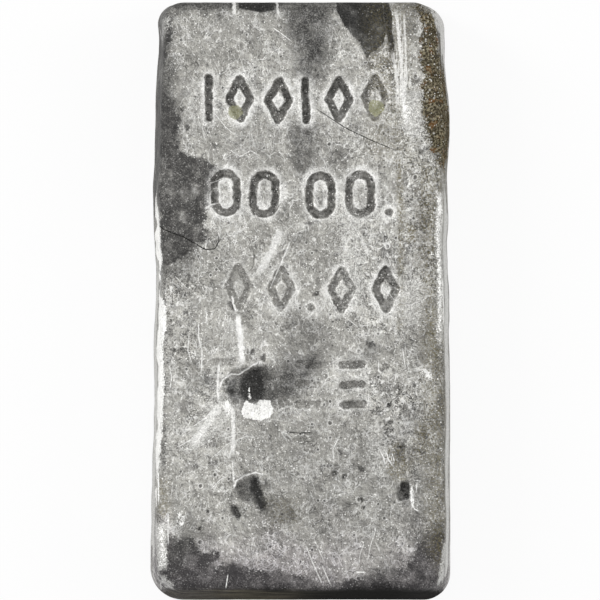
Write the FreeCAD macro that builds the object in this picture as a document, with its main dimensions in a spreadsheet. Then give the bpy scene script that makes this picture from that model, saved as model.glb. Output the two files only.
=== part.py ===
"""Cast indium bar: one solid, poured in a tapered open mould and struck by hand.

The bar lies on its broad poured face, with the narrower mould face up. The walls flare
down to the foot, the upright corners are rounded by different amounts, and the shoulder
all round the mould face is soft. Four rows of plain marks are struck into the mould face:
bars and lozenges, rings, lozenges again, and triple bars. Soft-metal damage is cut in
too: three gouges, a crease at the far right and a nick in the left shoulder.

Frame: X across the bar, Y along it, Z up. The origin is the middle of the foot.
All sizes are millimetres.
"""

import FreeCAD, Part
import math
import os

import Sketcher

V = FreeCAD.Vector

# The sheet of driving dimensions: alias, value, what it is.
DIMENSIONS = [
    ("bar_length", 81.5, "overall length, along Y, at the foot"),
    ("near_width", 41.0, "width at the near end of the foot"),
    ("far_width", 39.6, "width at the far end of the foot"),
    ("bar_height", 13.75, "height of the mould face above the foot"),
    ("draft_angle", 5.4, "lean of the walls, in degrees"),
    ("near_left_radius", 4.4, "upright corner"),
    ("near_right_radius", 3.6, "upright corner"),
    ("far_right_radius", 3.4, "upright corner"),
    ("far_left_radius", 2.8, "upright corner"),
    ("shoulder_radius", 1.2, "rounding round the mould face"),
    ("foot_radius", 0.8, "rounding round the poured face"),
    ("mark_height", 6.35, "height of a struck mark, a quarter inch punch"),
    ("mark_depth", 0.55, "depth of a struck mark"),
    ("stroke_width", 1.05, "width of a struck stroke"),
    ("row_pitch", 12.7, "from one row of marks to the next"),
    ("first_row_place", 26.3, "middle of the first row, from the bar's middle"),
    ("bar_mark_place", -12.2, "first bar of row one, from the centre line"),
    ("group_pitch", 13.1, "from one group of row one to the next"),
    ("lozenge_width", 3.9, "across a lozenge's points"),
    ("lozenge_stroke", 0.95, "width of a lozenge's sides"),
    ("near_lozenge_step", 4.2, "from a row one bar to its first lozenge"),
    ("far_lozenge_step", 9.2, "from a row one bar to its second lozenge"),
    ("ring_width", 4.0, "across a ring"),
    ("ring_place", -9.9, "first ring of row two"),
    ("ring_step", 5.0, "between the two rings of a pair"),
    ("ring_pair_pitch", 12.8, "from one pair of rings to the next"),
    ("dot_diameter", 1.6, "round punch"),
    ("row_two_dot_place", 12.1, "dot at the end of row two"),
    ("row_three_dot_place", 1.7, "dot in the middle of row three"),
    ("pair_place", -8.2, "first lozenge of row three"),
    ("pair_step", 5.6, "between the two lozenges of a pair"),
    ("pair_pitch", 13.9, "from one pair of lozenges to the next"),
    ("triple_place", -10.2, "middle of the first triple bar in row four"),
    ("triple_pitch", 5.7, "from one triple bar to the next"),
    ("triple_width", 3.7, "length of each stroke of a triple bar"),
    ("triple_gap", 2.65, "between strokes of a triple bar, middle to middle"),
    ("middle_gouge_across", -7.0, "middle gouge, from the centre line"),
    ("middle_gouge_along", -11.9, "middle gouge, from the bar's middle"),
    ("middle_gouge_width", 6.4, "across the middle gouge"),
    ("middle_gouge_length", 6.2, "along the middle gouge"),
    ("middle_gouge_depth", 1.3, "depth of the middle gouge"),
    ("lower_gouge_across", -6.7, "lower gouge, from the centre line"),
    ("lower_gouge_along", -26.6, "lower gouge, from the bar's middle"),
    ("lower_gouge_width", 4.4, "across the lower gouge"),
    ("lower_gouge_length", 5.0, "along the lower gouge"),
    ("lower_gouge_depth", 0.8, "depth of the lower gouge"),
    ("side_gouge_across", 13.8, "side gouge, from the centre line"),
    ("side_gouge_along", -26.4, "side gouge, from the bar's middle"),
    ("side_gouge_width", 2.0, "across the side gouge"),
    ("side_gouge_length", 3.0, "along the side gouge"),
    ("side_gouge_depth", 0.8, "depth of the side gouge"),
    ("crease_across", 12.2, "middle of the crease, from the centre line"),
    ("crease_inset", 7.8, "middle of the crease, back from the far end"),
    ("crease_width", 1.1, "across the crease"),
    ("crease_length", 10.5, "along the crease"),
    ("crease_depth", 0.5, "depth of the crease"),
    ("crease_turn", 11.0, "turn of the crease from the bar's length, in degrees"),
    ("nick_along", 8.9, "middle of the shoulder nick, from the bar's middle"),
    ("nick_length", 8.2, "along the shoulder nick"),
    ("nick_reach", 1.15, "how far the nick reaches in from the mould face's edge"),
    ("nick_depth", 3.4, "how far the nick reaches down the wall"),
]


def fill_sheet(doc):
    """The spreadsheet, one row for each driving dimension."""
    sheet = doc.addObject("Spreadsheet::Sheet", "dims")
    for row, (alias, value, meaning) in enumerate(DIMENSIONS, start=1):
        sheet.set(f"A{row}", alias)
        sheet.set(f"B{row}", str(value))
        sheet.set(f"C{row}", meaning)
        sheet.setAlias(f"B{row}", alias)
    doc.recompute()
    return sheet


def new_sketch(body, name, height=None):
    """A sketch on the body's XY plane, lifted to the height that an expression gives."""
    sketch = body.newObject("Sketcher::SketchObject", name)
    plane = next(f for f in body.Origin.OriginFeatures if f.Role == "XY_Plane")
    sketch.AttachmentSupport = [(plane, "")]
    sketch.MapMode = "FlatFace"
    if height:
        sketch.setExpression(".AttachmentOffset.Base.z", height)
    return sketch


def bind(sketch, kind, places, value, formula):
    """Adds one dimension to a sketch and ties it to a formula over the sheet."""
    number = sketch.addConstraint(Sketcher.Constraint(kind, *places, value))
    sketch.setExpression(f"Constraints[{number}]", formula)


def outline_sketch(body, dims):
    """The foot's outline: a bar a little narrower at its far end."""
    sketch = new_sketch(body, "foot_outline")
    half_length = dims.bar_length / 2
    near, far = dims.near_width / 2, dims.far_width / 2
    corners = [V(-near, -half_length, 0), V(near, -half_length, 0)]
    corners += [V(far, half_length, 0), V(-far, half_length, 0)]
    for i in range(4):
        sketch.addGeometry(Part.LineSegment(corners[i], corners[(i + 1) % 4]), False)
    for i in range(4):
        sketch.addConstraint(Sketcher.Constraint("Coincident", i, 2, (i + 1) % 4, 1))
    sketch.addConstraint(Sketcher.Constraint("Symmetric", 0, 1, 0, 2, -2))
    sketch.addConstraint(Sketcher.Constraint("Symmetric", 2, 2, 2, 1, -2))
    bind(sketch, "DistanceX", (0, 1, 0, 2), dims.near_width, "dims.near_width")
    bind(sketch, "DistanceX", (2, 2, 2, 1), dims.far_width, "dims.far_width")
    bind(sketch, "DistanceY", (0, 1, -1, 1), half_length, "dims.bar_length / 2")
    bind(sketch, "DistanceY", (-1, 1, 2, 1), half_length, "dims.bar_length / 2")
    return sketch


def place_point(sketch, geometry, point, across, along, formulas):
    """Ties a point of a sketch to two formulas, measured from the sketch's origin."""
    bind(sketch, "DistanceX", (-1, 1, geometry, point), across, formulas[0])
    bind(sketch, "DistanceY", (-1, 1, geometry, point), along, formulas[1])


def add_slot(sketch, middle, size, formulas, upright=True):
    """A slot with round ends. size is (length, width); formulas hold x, y, length, width."""
    x, y = middle
    length, width = size
    r, reach = width / 2, (length - width) / 2
    x_formula, y_formula, length_formula, width_formula = formulas
    reach_formula = f"(({length_formula}) - ({width_formula})) / 2"
    step = V(0, reach, 0) if upright else V(reach, 0, 0)
    side = V(r, 0, 0) if upright else V(0, -r, 0)
    start, end = V(x, y, 0) - step, V(x, y, 0) + step
    turn = 0 if upright else -math.pi / 2
    circles = [Part.Circle(c, V(0, 0, 1), r) for c in (start, end)]
    first = len(sketch.Geometry)
    sketch.addGeometry(Part.ArcOfCircle(circles[0], turn + math.pi, turn + 2 * math.pi), False)
    sketch.addGeometry(Part.LineSegment(start + side, end + side), False)
    sketch.addGeometry(Part.ArcOfCircle(circles[1], turn, turn + math.pi), False)
    sketch.addGeometry(Part.LineSegment(end - side, start - side), False)
    for i in range(4):
        a, b = first + i, first + (i + 1) % 4
        sketch.addConstraint(Sketcher.Constraint("Tangent", a, 2, b, 1))
    bind(sketch, "Radius", (first,), r, f"({width_formula}) / 2")
    if upright:
        low = (x, y - reach, (x_formula, f"{y_formula} - {reach_formula}"))
        high = (x, y + reach, (x_formula, f"{y_formula} + {reach_formula}"))
    else:
        low = (x - reach, y, (f"{x_formula} - {reach_formula}", y_formula))
        high = (x + reach, y, (f"{x_formula} + {reach_formula}", y_formula))
    place_point(sketch, first, 3, *low)
    place_point(sketch, first + 2, 3, *high)


def add_lozenge(sketch, middle, size, formulas):
    """Four straight sides between points above, right, below and left of a middle."""
    x, y = middle
    width, height = size
    x_formula, y_formula, width_formula, height_formula = formulas
    points = [
        (0, 1, height / 2, f"({height_formula}) / 2"),
        (1, 0, width / 2, f"({width_formula}) / 2"),
        (0, -1, height / 2, f"({height_formula}) / 2"),
        (-1, 0, width / 2, f"({width_formula}) / 2"),
    ]
    places = [V(x + dx * reach, y + dy * reach, 0) for dx, dy, reach, _ in points]
    first = len(sketch.Geometry)
    for i in range(4):
        sketch.addGeometry(Part.LineSegment(places[i], places[(i + 1) % 4]), False)
    for i in range(4):
        a, b = first + i, first + (i + 1) % 4
        sketch.addConstraint(Sketcher.Constraint("Coincident", a, 2, b, 1))
    for i, (dx, dy, _, reach_formula) in enumerate(points):
        across = f"{x_formula} + {dx} * {reach_formula}"
        along = f"{y_formula} + {dy} * {reach_formula}"
        place_point(sketch, first + i, 1, places[i].x, places[i].y, (across, along))


def add_ring(sketch, dims, middle, formulas):
    """A long ring: a slot inside a slot, one stroke apart all round."""
    outer = (dims.mark_height, dims.ring_width)
    inner = tuple(v - 2 * dims.stroke_width for v in outer)
    add_slot(sketch, middle, outer, (*formulas, "dims.mark_height", "dims.ring_width"))
    sizes = ("dims.mark_height - 2 * dims.stroke_width", "dims.ring_width - 2 * dims.stroke_width")
    add_slot(sketch, middle, inner, (*formulas, *sizes))


def add_lozenge_mark(sketch, dims, middle, formulas):
    """A lozenge inside a lozenge. Its sides slope, so the gap along an axis is wider than
    the stroke by the length of a side over the other half-axis."""
    outer = (dims.lozenge_width, dims.mark_height)
    side = math.hypot(*outer)
    slim = 2 * dims.lozenge_stroke * side
    inner = (outer[0] - slim / outer[1], outer[1] - slim / outer[0])
    side_formula = "sqrt(dims.lozenge_width ^ 2 + dims.mark_height ^ 2)"
    slim_formula = f"2 * dims.lozenge_stroke * {side_formula}"
    width = f"dims.lozenge_width - {slim_formula} / dims.mark_height"
    height = f"dims.mark_height - {slim_formula} / dims.lozenge_width"
    add_lozenge(sketch, middle, outer, (*formulas, "dims.lozenge_width", "dims.mark_height"))
    add_lozenge(sketch, middle, inner, (*formulas, width, height))


def strike(body, sketch, name):
    """Pockets a sketch of marks down from the mould face."""
    pocket = body.newObject("PartDesign::Pocket", name)
    pocket.Profile = sketch
    pocket.Type = 0
    pocket.setExpression("Length", "dims.mark_depth")
    return pocket


def repeat(body, pocket, count, pitch_formula, name):
    """Repeats a pocket across the bar, at an even pitch."""
    pattern = body.newObject("PartDesign::LinearPattern", name)
    pattern.Originals = [pocket]
    pattern.Direction = (pocket.Profile[0], ["H_Axis"])
    pattern.Occurrences = count
    pattern.setExpression("Length", f"{pitch_formula} * {count - 1}")
    body.Tip = pattern
    return pattern


def row_place(dims, row):
    """The middle of a row of marks, counted from 0, as a number and as a formula."""
    place = dims.first_row_place - row * dims.row_pitch
    return place, f"dims.first_row_place - {row} * dims.row_pitch"


def strike_rows(body, dims):
    """The four rows of marks and their dots."""
    top = "dims.bar_height"

    y, y_formula = row_place(dims, 0)
    x, x_formula = dims.bar_mark_place, "dims.bar_mark_place"
    sketch = new_sketch(body, "row_one_group", top)
    size = (dims.mark_height, dims.stroke_width)
    add_slot(sketch, (x, y), size, (x_formula, y_formula, "dims.mark_height", "dims.stroke_width"))
    for step in ("near_lozenge_step", "far_lozenge_step"):
        middle = (x + getattr(dims, step), y)
        add_lozenge_mark(sketch, dims, middle, (f"{x_formula} + dims.{step}", y_formula))
    repeat(body, strike(body, sketch, "row_one_strike"), 2, "dims.group_pitch", "row_one")

    y, y_formula = row_place(dims, 1)
    sketch = new_sketch(body, "row_two_pair", top)
    add_ring(sketch, dims, (dims.ring_place, y), ("dims.ring_place", y_formula))
    middle = (dims.ring_place + dims.ring_step, y)
    add_ring(sketch, dims, middle, ("dims.ring_place + dims.ring_step", y_formula))
    repeat(body, strike(body, sketch, "row_two_strike"), 2, "dims.ring_pair_pitch", "row_two")

    y, y_formula = row_place(dims, 2)
    sketch = new_sketch(body, "row_three_pair", top)
    add_lozenge_mark(sketch, dims, (dims.pair_place, y), ("dims.pair_place", y_formula))
    middle = (dims.pair_place + dims.pair_step, y)
    add_lozenge_mark(sketch, dims, middle, ("dims.pair_place + dims.pair_step", y_formula))
    repeat(body, strike(body, sketch, "row_three_strike"), 2, "dims.pair_pitch", "row_three")

    y, y_formula = row_place(dims, 3)
    sketch = new_sketch(body, "row_four_triple", top)
    size = (dims.triple_width, dims.stroke_width)
    for step in (-1, 0, 1):
        middle = (dims.triple_place, y + step * dims.triple_gap)
        along = f"{y_formula} + {step} * dims.triple_gap"
        formulas = ("dims.triple_place", along, "dims.triple_width", "dims.stroke_width")
        add_slot(sketch, middle, size, formulas, upright=False)
    repeat(body, strike(body, sketch, "row_four_strike"), 4, "dims.triple_pitch", "row_four")

    sketch = new_sketch(body, "dot_places", top)
    drop = (dims.mark_height - dims.dot_diameter) / 2
    drop_formula = "(dims.mark_height - dims.dot_diameter) / 2"
    for row, name in ((1, "row_two_dot_place"), (2, "row_three_dot_place")):
        y, y_formula = row_place(dims, row)
        circle = Part.Circle(V(getattr(dims, name), y - drop, 0), V(0, 0, 1), dims.dot_diameter / 2)
        number = sketch.addGeometry(circle, False)
        bind(sketch, "Diameter", (number,), dims.dot_diameter, "dims.dot_diameter")
        formulas = (f"dims.{name}", f"{y_formula} - {drop_formula}")
        place_point(sketch, number, 3, getattr(dims, name), y - drop, formulas)
    body.Tip = strike(body, sketch, "dots")


def scoop(body, name, radii, place, turn=None):
    """Takes an ellipsoid's bite out of the body. radii and place are formulas for X, Y, Z."""
    bite = body.newObject("PartDesign::SubtractiveEllipsoid", name)
    for field, formula in zip(("Radius2", "Radius3", "Radius1"), radii):
        bite.setExpression(field, formula)
    plane = next(f for f in body.Origin.OriginFeatures if f.Role == "XY_Plane")
    bite.AttachmentSupport = [(plane, "")]
    bite.MapMode = "FlatFace"
    for axis, formula in zip("xyz", place):
        bite.setExpression(f".AttachmentOffset.Base.{axis}", formula)
    if turn:
        bite.setExpression(".AttachmentOffset.Rotation.Angle", turn)
    body.Tip = bite
    return bite


def damage(body):
    """The gouges, the crease and the shoulder nick."""
    for name in ("middle_gouge", "lower_gouge", "side_gouge"):
        radii = (f"dims.{name}_width / 2", f"dims.{name}_length / 2", f"dims.{name}_depth")
        scoop(body, name, radii, (f"dims.{name}_across", f"dims.{name}_along", "dims.bar_height"))
    radii = ("dims.crease_width / 2", "dims.crease_length / 2", "dims.crease_depth")
    place = ("dims.crease_across", "dims.bar_length / 2 - dims.crease_inset", "dims.bar_height")
    scoop(body, "crease", radii, place, "dims.crease_turn")
    inset = "dims.bar_height * tan(dims.draft_angle * 1 deg)"
    half_width = "(dims.near_width + dims.far_width) / 4"
    radii = ("dims.nick_reach", "dims.nick_length / 2", "dims.nick_depth")
    scoop(body, "shoulder_nick", radii, (f"{inset} - {half_width}", "dims.nick_along", "dims.bar_height"))


def round_edges(body, base, name, wanted, radius_formula):
    """Fillets the edges of a feature that wanted(edge) picks out."""
    edges = [f"Edge{i + 1}" for i, edge in enumerate(base.Shape.Edges) if wanted(edge)]
    fillet = body.newObject("PartDesign::Fillet", name)
    fillet.Base = (base, edges)
    fillet.setExpression("Radius", radius_formula)
    body.Tip = fillet
    return fillet


def upright_at(x_side, y_side):
    """Picks the upright edge in one quarter of the plan."""

    def wanted(edge):
        box = edge.BoundBox
        rises = box.ZLength > box.XLength + box.YLength
        return rises and box.Center.x * x_side > 0 and box.Center.y * y_side > 0

    return wanted


def level_at(height):
    """Picks the edges that lie level at a height."""
    return lambda edge: edge.BoundBox.ZLength < 1e-6 and abs(edge.BoundBox.ZMin - height) < 1e-6


def make_bar(doc, dims):
    """The whole bar, as one body."""
    body = doc.addObject("PartDesign::Body", "indium_bar")
    body.Label = "indium_bar"
    pad = body.newObject("PartDesign::Pad", "tapered_cast")
    pad.Profile = outline_sketch(body, dims)
    pad.setExpression("Length", "dims.bar_height")
    pad.setExpression("TaperAngle", "-dims.draft_angle")
    doc.recompute()
    feature = pad
    for name, x_side, y_side in (
        ("near_left", -1, -1),
        ("near_right", 1, -1),
        ("far_right", 1, 1),
        ("far_left", -1, 1),
    ):
        wanted = upright_at(x_side, y_side)
        feature = round_edges(body, feature, f"{name}_corner", wanted, f"dims.{name}_radius")
        doc.recompute()
    for name, height in (("shoulder", dims.bar_height), ("foot", 0.0)):
        wanted = level_at(height)
        feature = round_edges(body, feature, f"{name}_round", wanted, f"dims.{name}_radius")
        doc.recompute()
    strike_rows(body, dims)
    damage(body)
    doc.recompute()
    return body


def check(doc, bodies):
    """Stops the build on a failed feature, a cut that took nothing or a bad solid."""
    failed = [o.Name for o in doc.Objects if {"Invalid", "Error"} & set(o.State)]
    if failed:
        raise RuntimeError(f"these objects failed: {failed}")
    for body in bodies:
        if body.Shape.isNull() or not body.Shape.isValid() or len(body.Shape.Solids) != 1:
            raise RuntimeError(f"{body.Label} has no single valid solid")
        before = None
        for feature in body.Group:
            if not feature.isDerivedFrom("PartDesign::Feature"):
                continue
            volume = feature.Shape.Volume
            if before is not None and volume >= before - 1e-3:
                raise RuntimeError(f"{feature.Name} took nothing away")
            before = volume


def write_parts(bodies):
    """One STEP file for each body, named by its label."""
    os.makedirs("parts", exist_ok=True)
    for body in bodies:
        body.Shape.exportStep(f"parts/{body.Label}.step")
        box = body.Shape.BoundBox
        size = f"{box.XLength:.2f} x {box.YLength:.2f} x {box.ZLength:.2f} mm"
        print(f"{body.Label}: {size}, {body.Shape.Volume / 1000:.2f} cm3")


document = FreeCAD.newDocument("indium_bar")
bodies = [make_bar(document, fill_sheet(document))]
check(document, bodies)
write_parts(bodies)
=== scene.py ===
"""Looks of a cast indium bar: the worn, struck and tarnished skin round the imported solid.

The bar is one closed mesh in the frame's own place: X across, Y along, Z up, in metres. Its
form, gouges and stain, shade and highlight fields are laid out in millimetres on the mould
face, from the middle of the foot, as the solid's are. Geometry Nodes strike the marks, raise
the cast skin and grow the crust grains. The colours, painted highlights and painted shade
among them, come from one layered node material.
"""

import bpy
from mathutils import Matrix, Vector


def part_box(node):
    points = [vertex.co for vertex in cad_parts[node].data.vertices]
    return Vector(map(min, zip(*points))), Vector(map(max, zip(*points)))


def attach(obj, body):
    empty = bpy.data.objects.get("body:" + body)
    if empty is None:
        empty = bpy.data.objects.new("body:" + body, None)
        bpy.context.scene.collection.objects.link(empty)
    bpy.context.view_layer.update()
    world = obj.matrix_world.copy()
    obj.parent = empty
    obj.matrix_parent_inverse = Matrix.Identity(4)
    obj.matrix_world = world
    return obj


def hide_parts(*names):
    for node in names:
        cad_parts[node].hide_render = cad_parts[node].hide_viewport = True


bl_info = {
    "name": "Cast Indium Bar",
    "version": (1, 0, 0),
    "blender": (4, 5, 0),
    "location": "View3D > Sidebar > Cast Bar",
    "description": "Builds a struck and tarnished bar of cast soft metal on a plain stage",
    "category": "Add Mesh",
}

import math

import bpy
import numpy as np
from bpy.props import FloatProperty, FloatVectorProperty, IntProperty, PointerProperty
from mathutils import Color, Vector, noise

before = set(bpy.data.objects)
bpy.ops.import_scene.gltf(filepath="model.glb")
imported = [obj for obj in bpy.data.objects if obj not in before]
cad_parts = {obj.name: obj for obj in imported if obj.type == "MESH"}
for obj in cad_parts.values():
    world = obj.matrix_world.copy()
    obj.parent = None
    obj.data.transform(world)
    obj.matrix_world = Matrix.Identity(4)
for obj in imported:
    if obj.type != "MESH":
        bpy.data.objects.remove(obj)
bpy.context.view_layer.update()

MM = 0.001
NODE = "indium_bar"
BODY = "root"
LOW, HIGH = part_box(NODE)
HALF_WIDTH = (HIGH.x - LOW.x) / 2 / MM
HALF_LENGTH = (HIGH.y - LOW.y) / 2 / MM
TOP = HIGH.z / MM

# ---------------------------------------------------------------- what a user would change


def length_property(name, description, default):
    """One length that a user can change, in metres."""
    return FloatProperty(
        name=name, description=description, default=default, unit="LENGTH", subtype="DISTANCE")


def colour_property(name, description, default):
    """One colour that a user can change."""
    return FloatVectorProperty(
        name=name, description=description, default=default, size=3, min=0.0, max=1.0,
        subtype="COLOR")


CORNER = "Radius of the upright corner"


class BarShape(bpy.types.PropertyGroup):
    """The cast form."""

    draft: FloatProperty(
        name="Draft", description="Lean of the walls", default=math.radians(5.4), subtype="ANGLE")
    far_narrowing: length_property(
        "Far narrowing", "How much narrower the far end is than the near end", 1.4 * MM)
    near_left_radius: length_property("Near left corner", CORNER, 4.4 * MM)
    near_right_radius: length_property("Near right corner", CORNER, 3.6 * MM)
    far_right_radius: length_property("Far right corner", CORNER, 3.6 * MM)
    far_left_radius: length_property("Far left corner", CORNER, 3.0 * MM)
    shoulder_radius: length_property("Shoulder", "Rounding round the mould face", 1.3 * MM)
    foot_radius: length_property("Foot", "Rounding round the poured face", 0.8 * MM)
    lip_room: length_property(
        "Room for lips", "How far the mould face lies below its raised lips", 0.2 * MM)
    cells_across: IntProperty(
        name="Cells across", description="Faces across the mould face", default=170, min=20)
    cells_along: IntProperty(
        name="Cells along", description="Faces along the mould face", default=340, min=40)


class StruckMarks(bpy.types.PropertyGroup):
    """The punch marks and the skin that they are struck in."""

    mark_height: length_property("Mark height", "Height of a struck mark", 6.35 * MM)
    stroke_width: length_property("Stroke width", "Width of a struck stroke", 1.05 * MM)
    depth: length_property("Depth", "Depth of a struck mark", 0.55 * MM)
    lip_height: length_property(
        "Lip height", "Height of the metal pushed up beside a stroke", 0.11 * MM)
    row_pitch: length_property("Row pitch", "From one row of marks to the next", 12.7 * MM)
    first_row: length_property(
        "First row", "Middle of the first row, from the bar's middle", 26.3 * MM)
    skin_relief: length_property("Skin relief", "Height of the cast skin's unevenness", 0.05 * MM)
    grain_size: length_property("Crust grain", "Size of a grain of crust", 0.15 * MM)
    grain_density: FloatProperty(
        name="Crust density", description="Grains of crust on a square millimetre", default=16.0)


class Finish(bpy.types.PropertyGroup):
    """The colours of the metal, of what lies on it, and of its painted shade and highlights."""

    pale_metal: colour_property(
        "Pale metal", "Lightest of the scuffed skin", (0.656, 0.643, 0.597))
    dull_metal: colour_property("Dull metal", "Darkest of the scuffed skin", (0.026, 0.026, 0.024))
    bare_metal: colour_property(
        "Bare metal", "Lightest of the rubbed edges", (0.743, 0.739, 0.715))
    bare_dark: colour_property(
        "Dull bare metal", "Darkest of the rubbed edges", (0.356, 0.351, 0.331))
    # Bright burnish, also used for the painted highlights on lips, ramps, shoulders and glints.
    burnished: colour_property(
        "Burnished", "Lips, scratches and polished ramps", (0.970, 0.965, 0.940))
    cool_cast: colour_property(
        "Cool cast", "Faint violet cast towards the near end", (0.982, 0.950, 1.000))
    patina: colour_property("Patina", "Darkest of the speckled tarnish", (0.049, 0.048, 0.047))
    # The light patina is also the light end of the painted shade in hollows and struck marks.
    patina_light: colour_property(
        "Light patina", "Lightest of the speckled tarnish", (0.150, 0.146, 0.139))
    # This black serves the smooth tarnish, and also the painted shade in the hollows and on the
    # near wall.
    flow_black: colour_property("Flow black", "Smooth black tarnish", (0.022, 0.022, 0.021))
    # A mark's floor is partly dirt and partly painted shade.
    mark_floor: colour_property(
        "Mark floor", "Darkest of a struck mark's floor", (0.047, 0.046, 0.042))
    olive: colour_property("Olive bloom", "Thin olive deposit", (0.159, 0.136, 0.068))
    # This brown is laid only within the painted shade on the near wall.
    end_brown: colour_property("End brown", "Brown bloom on the near end", (0.145, 0.130, 0.099))
    crust_dark: colour_property("Dark crust", "Shadowed crust", (0.046, 0.036, 0.020))
    crust_rust: colour_property("Rusty crust", "Rust brown grains of crust", (0.140, 0.062, 0.016))
    crust_light: colour_property("Light crust", "Sunlit grains of crust", (0.407, 0.361, 0.240))
    wax: colour_property("Wax", "Spots of pale wax", (0.469, 0.469, 0.341))
    wax_dark: colour_property("Dull wax", "Thin parts of the wax spots", (0.318, 0.318, 0.181))


class StageSettings(bpy.types.PropertyGroup):
    """The floor, the lamps and the camera."""

    lens: FloatProperty(name="Lens", description="Focal length, in millimetres", default=311.6)
    distance: length_property("Camera distance", "From the bar to the camera", 0.708)
    elevation: FloatProperty(
        name="Elevation", description="Height of the camera over the level",
        default=math.radians(86.4), subtype="ANGLE")
    floor_size: length_property("Floor size", "Side of the square floor", 6.0)
    side_power: FloatProperty(
        name="Side lamp", description="Power of the left lamp, in watts", default=2.0)
    fill_power: FloatProperty(
        name="Fill lamp", description="Power of the right lamp, in watts", default=1.2)
    sky_strength: FloatProperty(
        name="Sky", description="Strength of the even light", default=0.735)


def settings(name):
    """The scene's settings of one kind."""
    return getattr(bpy.context.scene, name)


# ---------------------------------------------------------------- node helpers


def add_node(tree, kind, inputs=None, **options):
    """A node with its options set and its inputs set or linked."""
    node = tree.nodes.new(kind)
    for key, value in options.items():
        setattr(node, key, value)
    for key, value in (inputs or {}).items():
        socket = node.inputs[key]
        if isinstance(value, bpy.types.NodeSocket):
            tree.links.new(value, socket)
        else:
            socket.default_value = value
    return node


def calc(tree, operation, first, second=0.0, third=0.0, clamp=False):
    """The result of one sum on numbers."""
    inputs = {0: first, 1: second, 2: third}
    node = add_node(tree, "ShaderNodeMath", inputs, operation=operation, use_clamp=clamp)
    return node.outputs[0]


def times(tree, product, *factors):
    """Several numbers multiplied."""
    for factor in factors:
        product = calc(tree, "MULTIPLY", product, factor)
    return product


def swing(tree, value, reach):
    """A value from 0 to 1 turned into one that swings about zero."""
    return times(tree, calc(tree, "SUBTRACT", value, 0.5), reach)


def vector_calc(tree, operation, first, second):
    """The result of one sum on vectors."""
    inputs = {0: first, "Scale" if operation == "SCALE" else 1: second}
    return add_node(tree, "ShaderNodeVectorMath", inputs, operation=operation).outputs[0]


def step(tree, value, low, high, to_low=0.0, to_high=1.0):
    """A smooth step from to_low to to_high as value goes from low to high."""
    node = add_node(tree, "ShaderNodeMapRange", {
        "Value": value, "From Min": low, "From Max": high, "To Min": to_low, "To Max": to_high},
        interpolation_type="SMOOTHSTEP")
    return node.outputs["Result"]


def fade(tree, value, low, high):
    """A smooth step down from 1 at low to 0 at high."""
    return step(tree, value, low, high, 1.0, 0.0)


def cloud(tree, place, scale, detail, roughness=0.5, output="Fac"):
    """Noise from 0 to 1."""
    return add_node(tree, "ShaderNodeTexNoise", {
        "Vector": place, "Scale": scale, "Detail": detail, "Roughness": roughness}).outputs[output]


def wandered(tree, place, scale, reach):
    """A place pushed about by noise."""
    middle = (0.5, 0.5, 0.5)
    push = vector_calc(tree, "SUBTRACT", cloud(tree, place, scale, 3.0, output="Color"), middle)
    return vector_calc(tree, "ADD", place, vector_calc(tree, "SCALE", push, reach))


def new_tree(kind, name, inputs, *outputs):
    """A node group with its entry and exit nodes. Each input has a default, or names its kind."""
    tree = bpy.data.node_groups.new(name, kind + "NodeTree")
    for label, given in inputs.items():
        has_default = not isinstance(given, str)
        socket = tree.interface.new_socket(
            name=label, in_out="INPUT",
            socket_type="NodeSocket" + (type(given).__name__.title() if has_default else given))
        if has_default:
            socket.default_value = given
    for label in outputs:
        tree.interface.new_socket(
            name=label, in_out="OUTPUT",
            socket_type="NodeSocket" + ("Float" if kind == "Shader" else "Geometry"))
    return tree, tree.nodes.new("NodeGroupInput").outputs, tree.nodes.new("NodeGroupOutput").inputs


# ---------------------------------------------------------------- the cast form, in millimetres


def evenly(path, pieces):
    """The same path in that many even pieces."""
    run = np.concatenate([[0.0], np.cumsum(np.linalg.norm(np.diff(path, axis=0), axis=1))])
    places = np.linspace(0.0, run[-1], pieces + 1)
    return np.stack([np.interp(places, run, path[:, axis]) for axis in (0, 1)], axis=1)


def outline(inset, across, along):
    """The near, right, far and left sides of the bar at one level, anticlockwise from above."""
    shape = settings("bar_shape")
    half_x = HALF_WIDTH - inset
    half_y = HALF_LENGTH - inset
    corners = (
        (-1, -1, shape.near_left_radius, 225),
        (1, -1, shape.near_right_radius, 315),
        (1, 1, shape.far_right_radius, 405),
        (-1, 1, shape.far_left_radius, 495),
    )
    arc_points = 16
    sides = []
    for number in range(4):
        halves = []
        for corner, turn in ((corners[number], 45), (corners[(number + 1) % 4], -45)):
            sign_x, sign_y, radius, middle = corner
            radius /= MM
            angles = np.radians(middle + np.linspace(min(turn, 0), max(turn, 0), arc_points))
            arc_x = sign_x * (half_x - radius) + radius * np.cos(angles)
            arc_y = sign_y * (half_y - radius) + radius * np.sin(angles)
            halves.append(np.stack([arc_x, arc_y], axis=1))
        sides.append(evenly(np.concatenate(halves), across if number % 2 == 0 else along))
    narrowing = shape.far_narrowing / MM / 2 / HALF_WIDTH
    for side in sides:
        side[:, 0] *= 1 - narrowing * (side[:, 1] + HALF_LENGTH) / (2 * HALF_LENGTH)
    return sides


def sheet_between(sides):
    """A grid of points that fills an outline, its rows and columns following the sides."""
    near, right, far, left = sides[0], sides[1], sides[2][::-1], sides[3][::-1]
    across = np.linspace(0, 1, len(near))[:, None, None]
    along = np.linspace(0, 1, len(left))[None, :, None]
    ends = (1 - along) * near[:, None] + along * far[:, None]
    flanks = (1 - across) * left[None] + across * right[None]
    corners = (
        (1 - across) * (1 - along) * near[0] + across * (1 - along) * near[-1]
        + (1 - across) * along * far[0] + across * along * far[-1])
    return ends + flanks - corners


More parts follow.
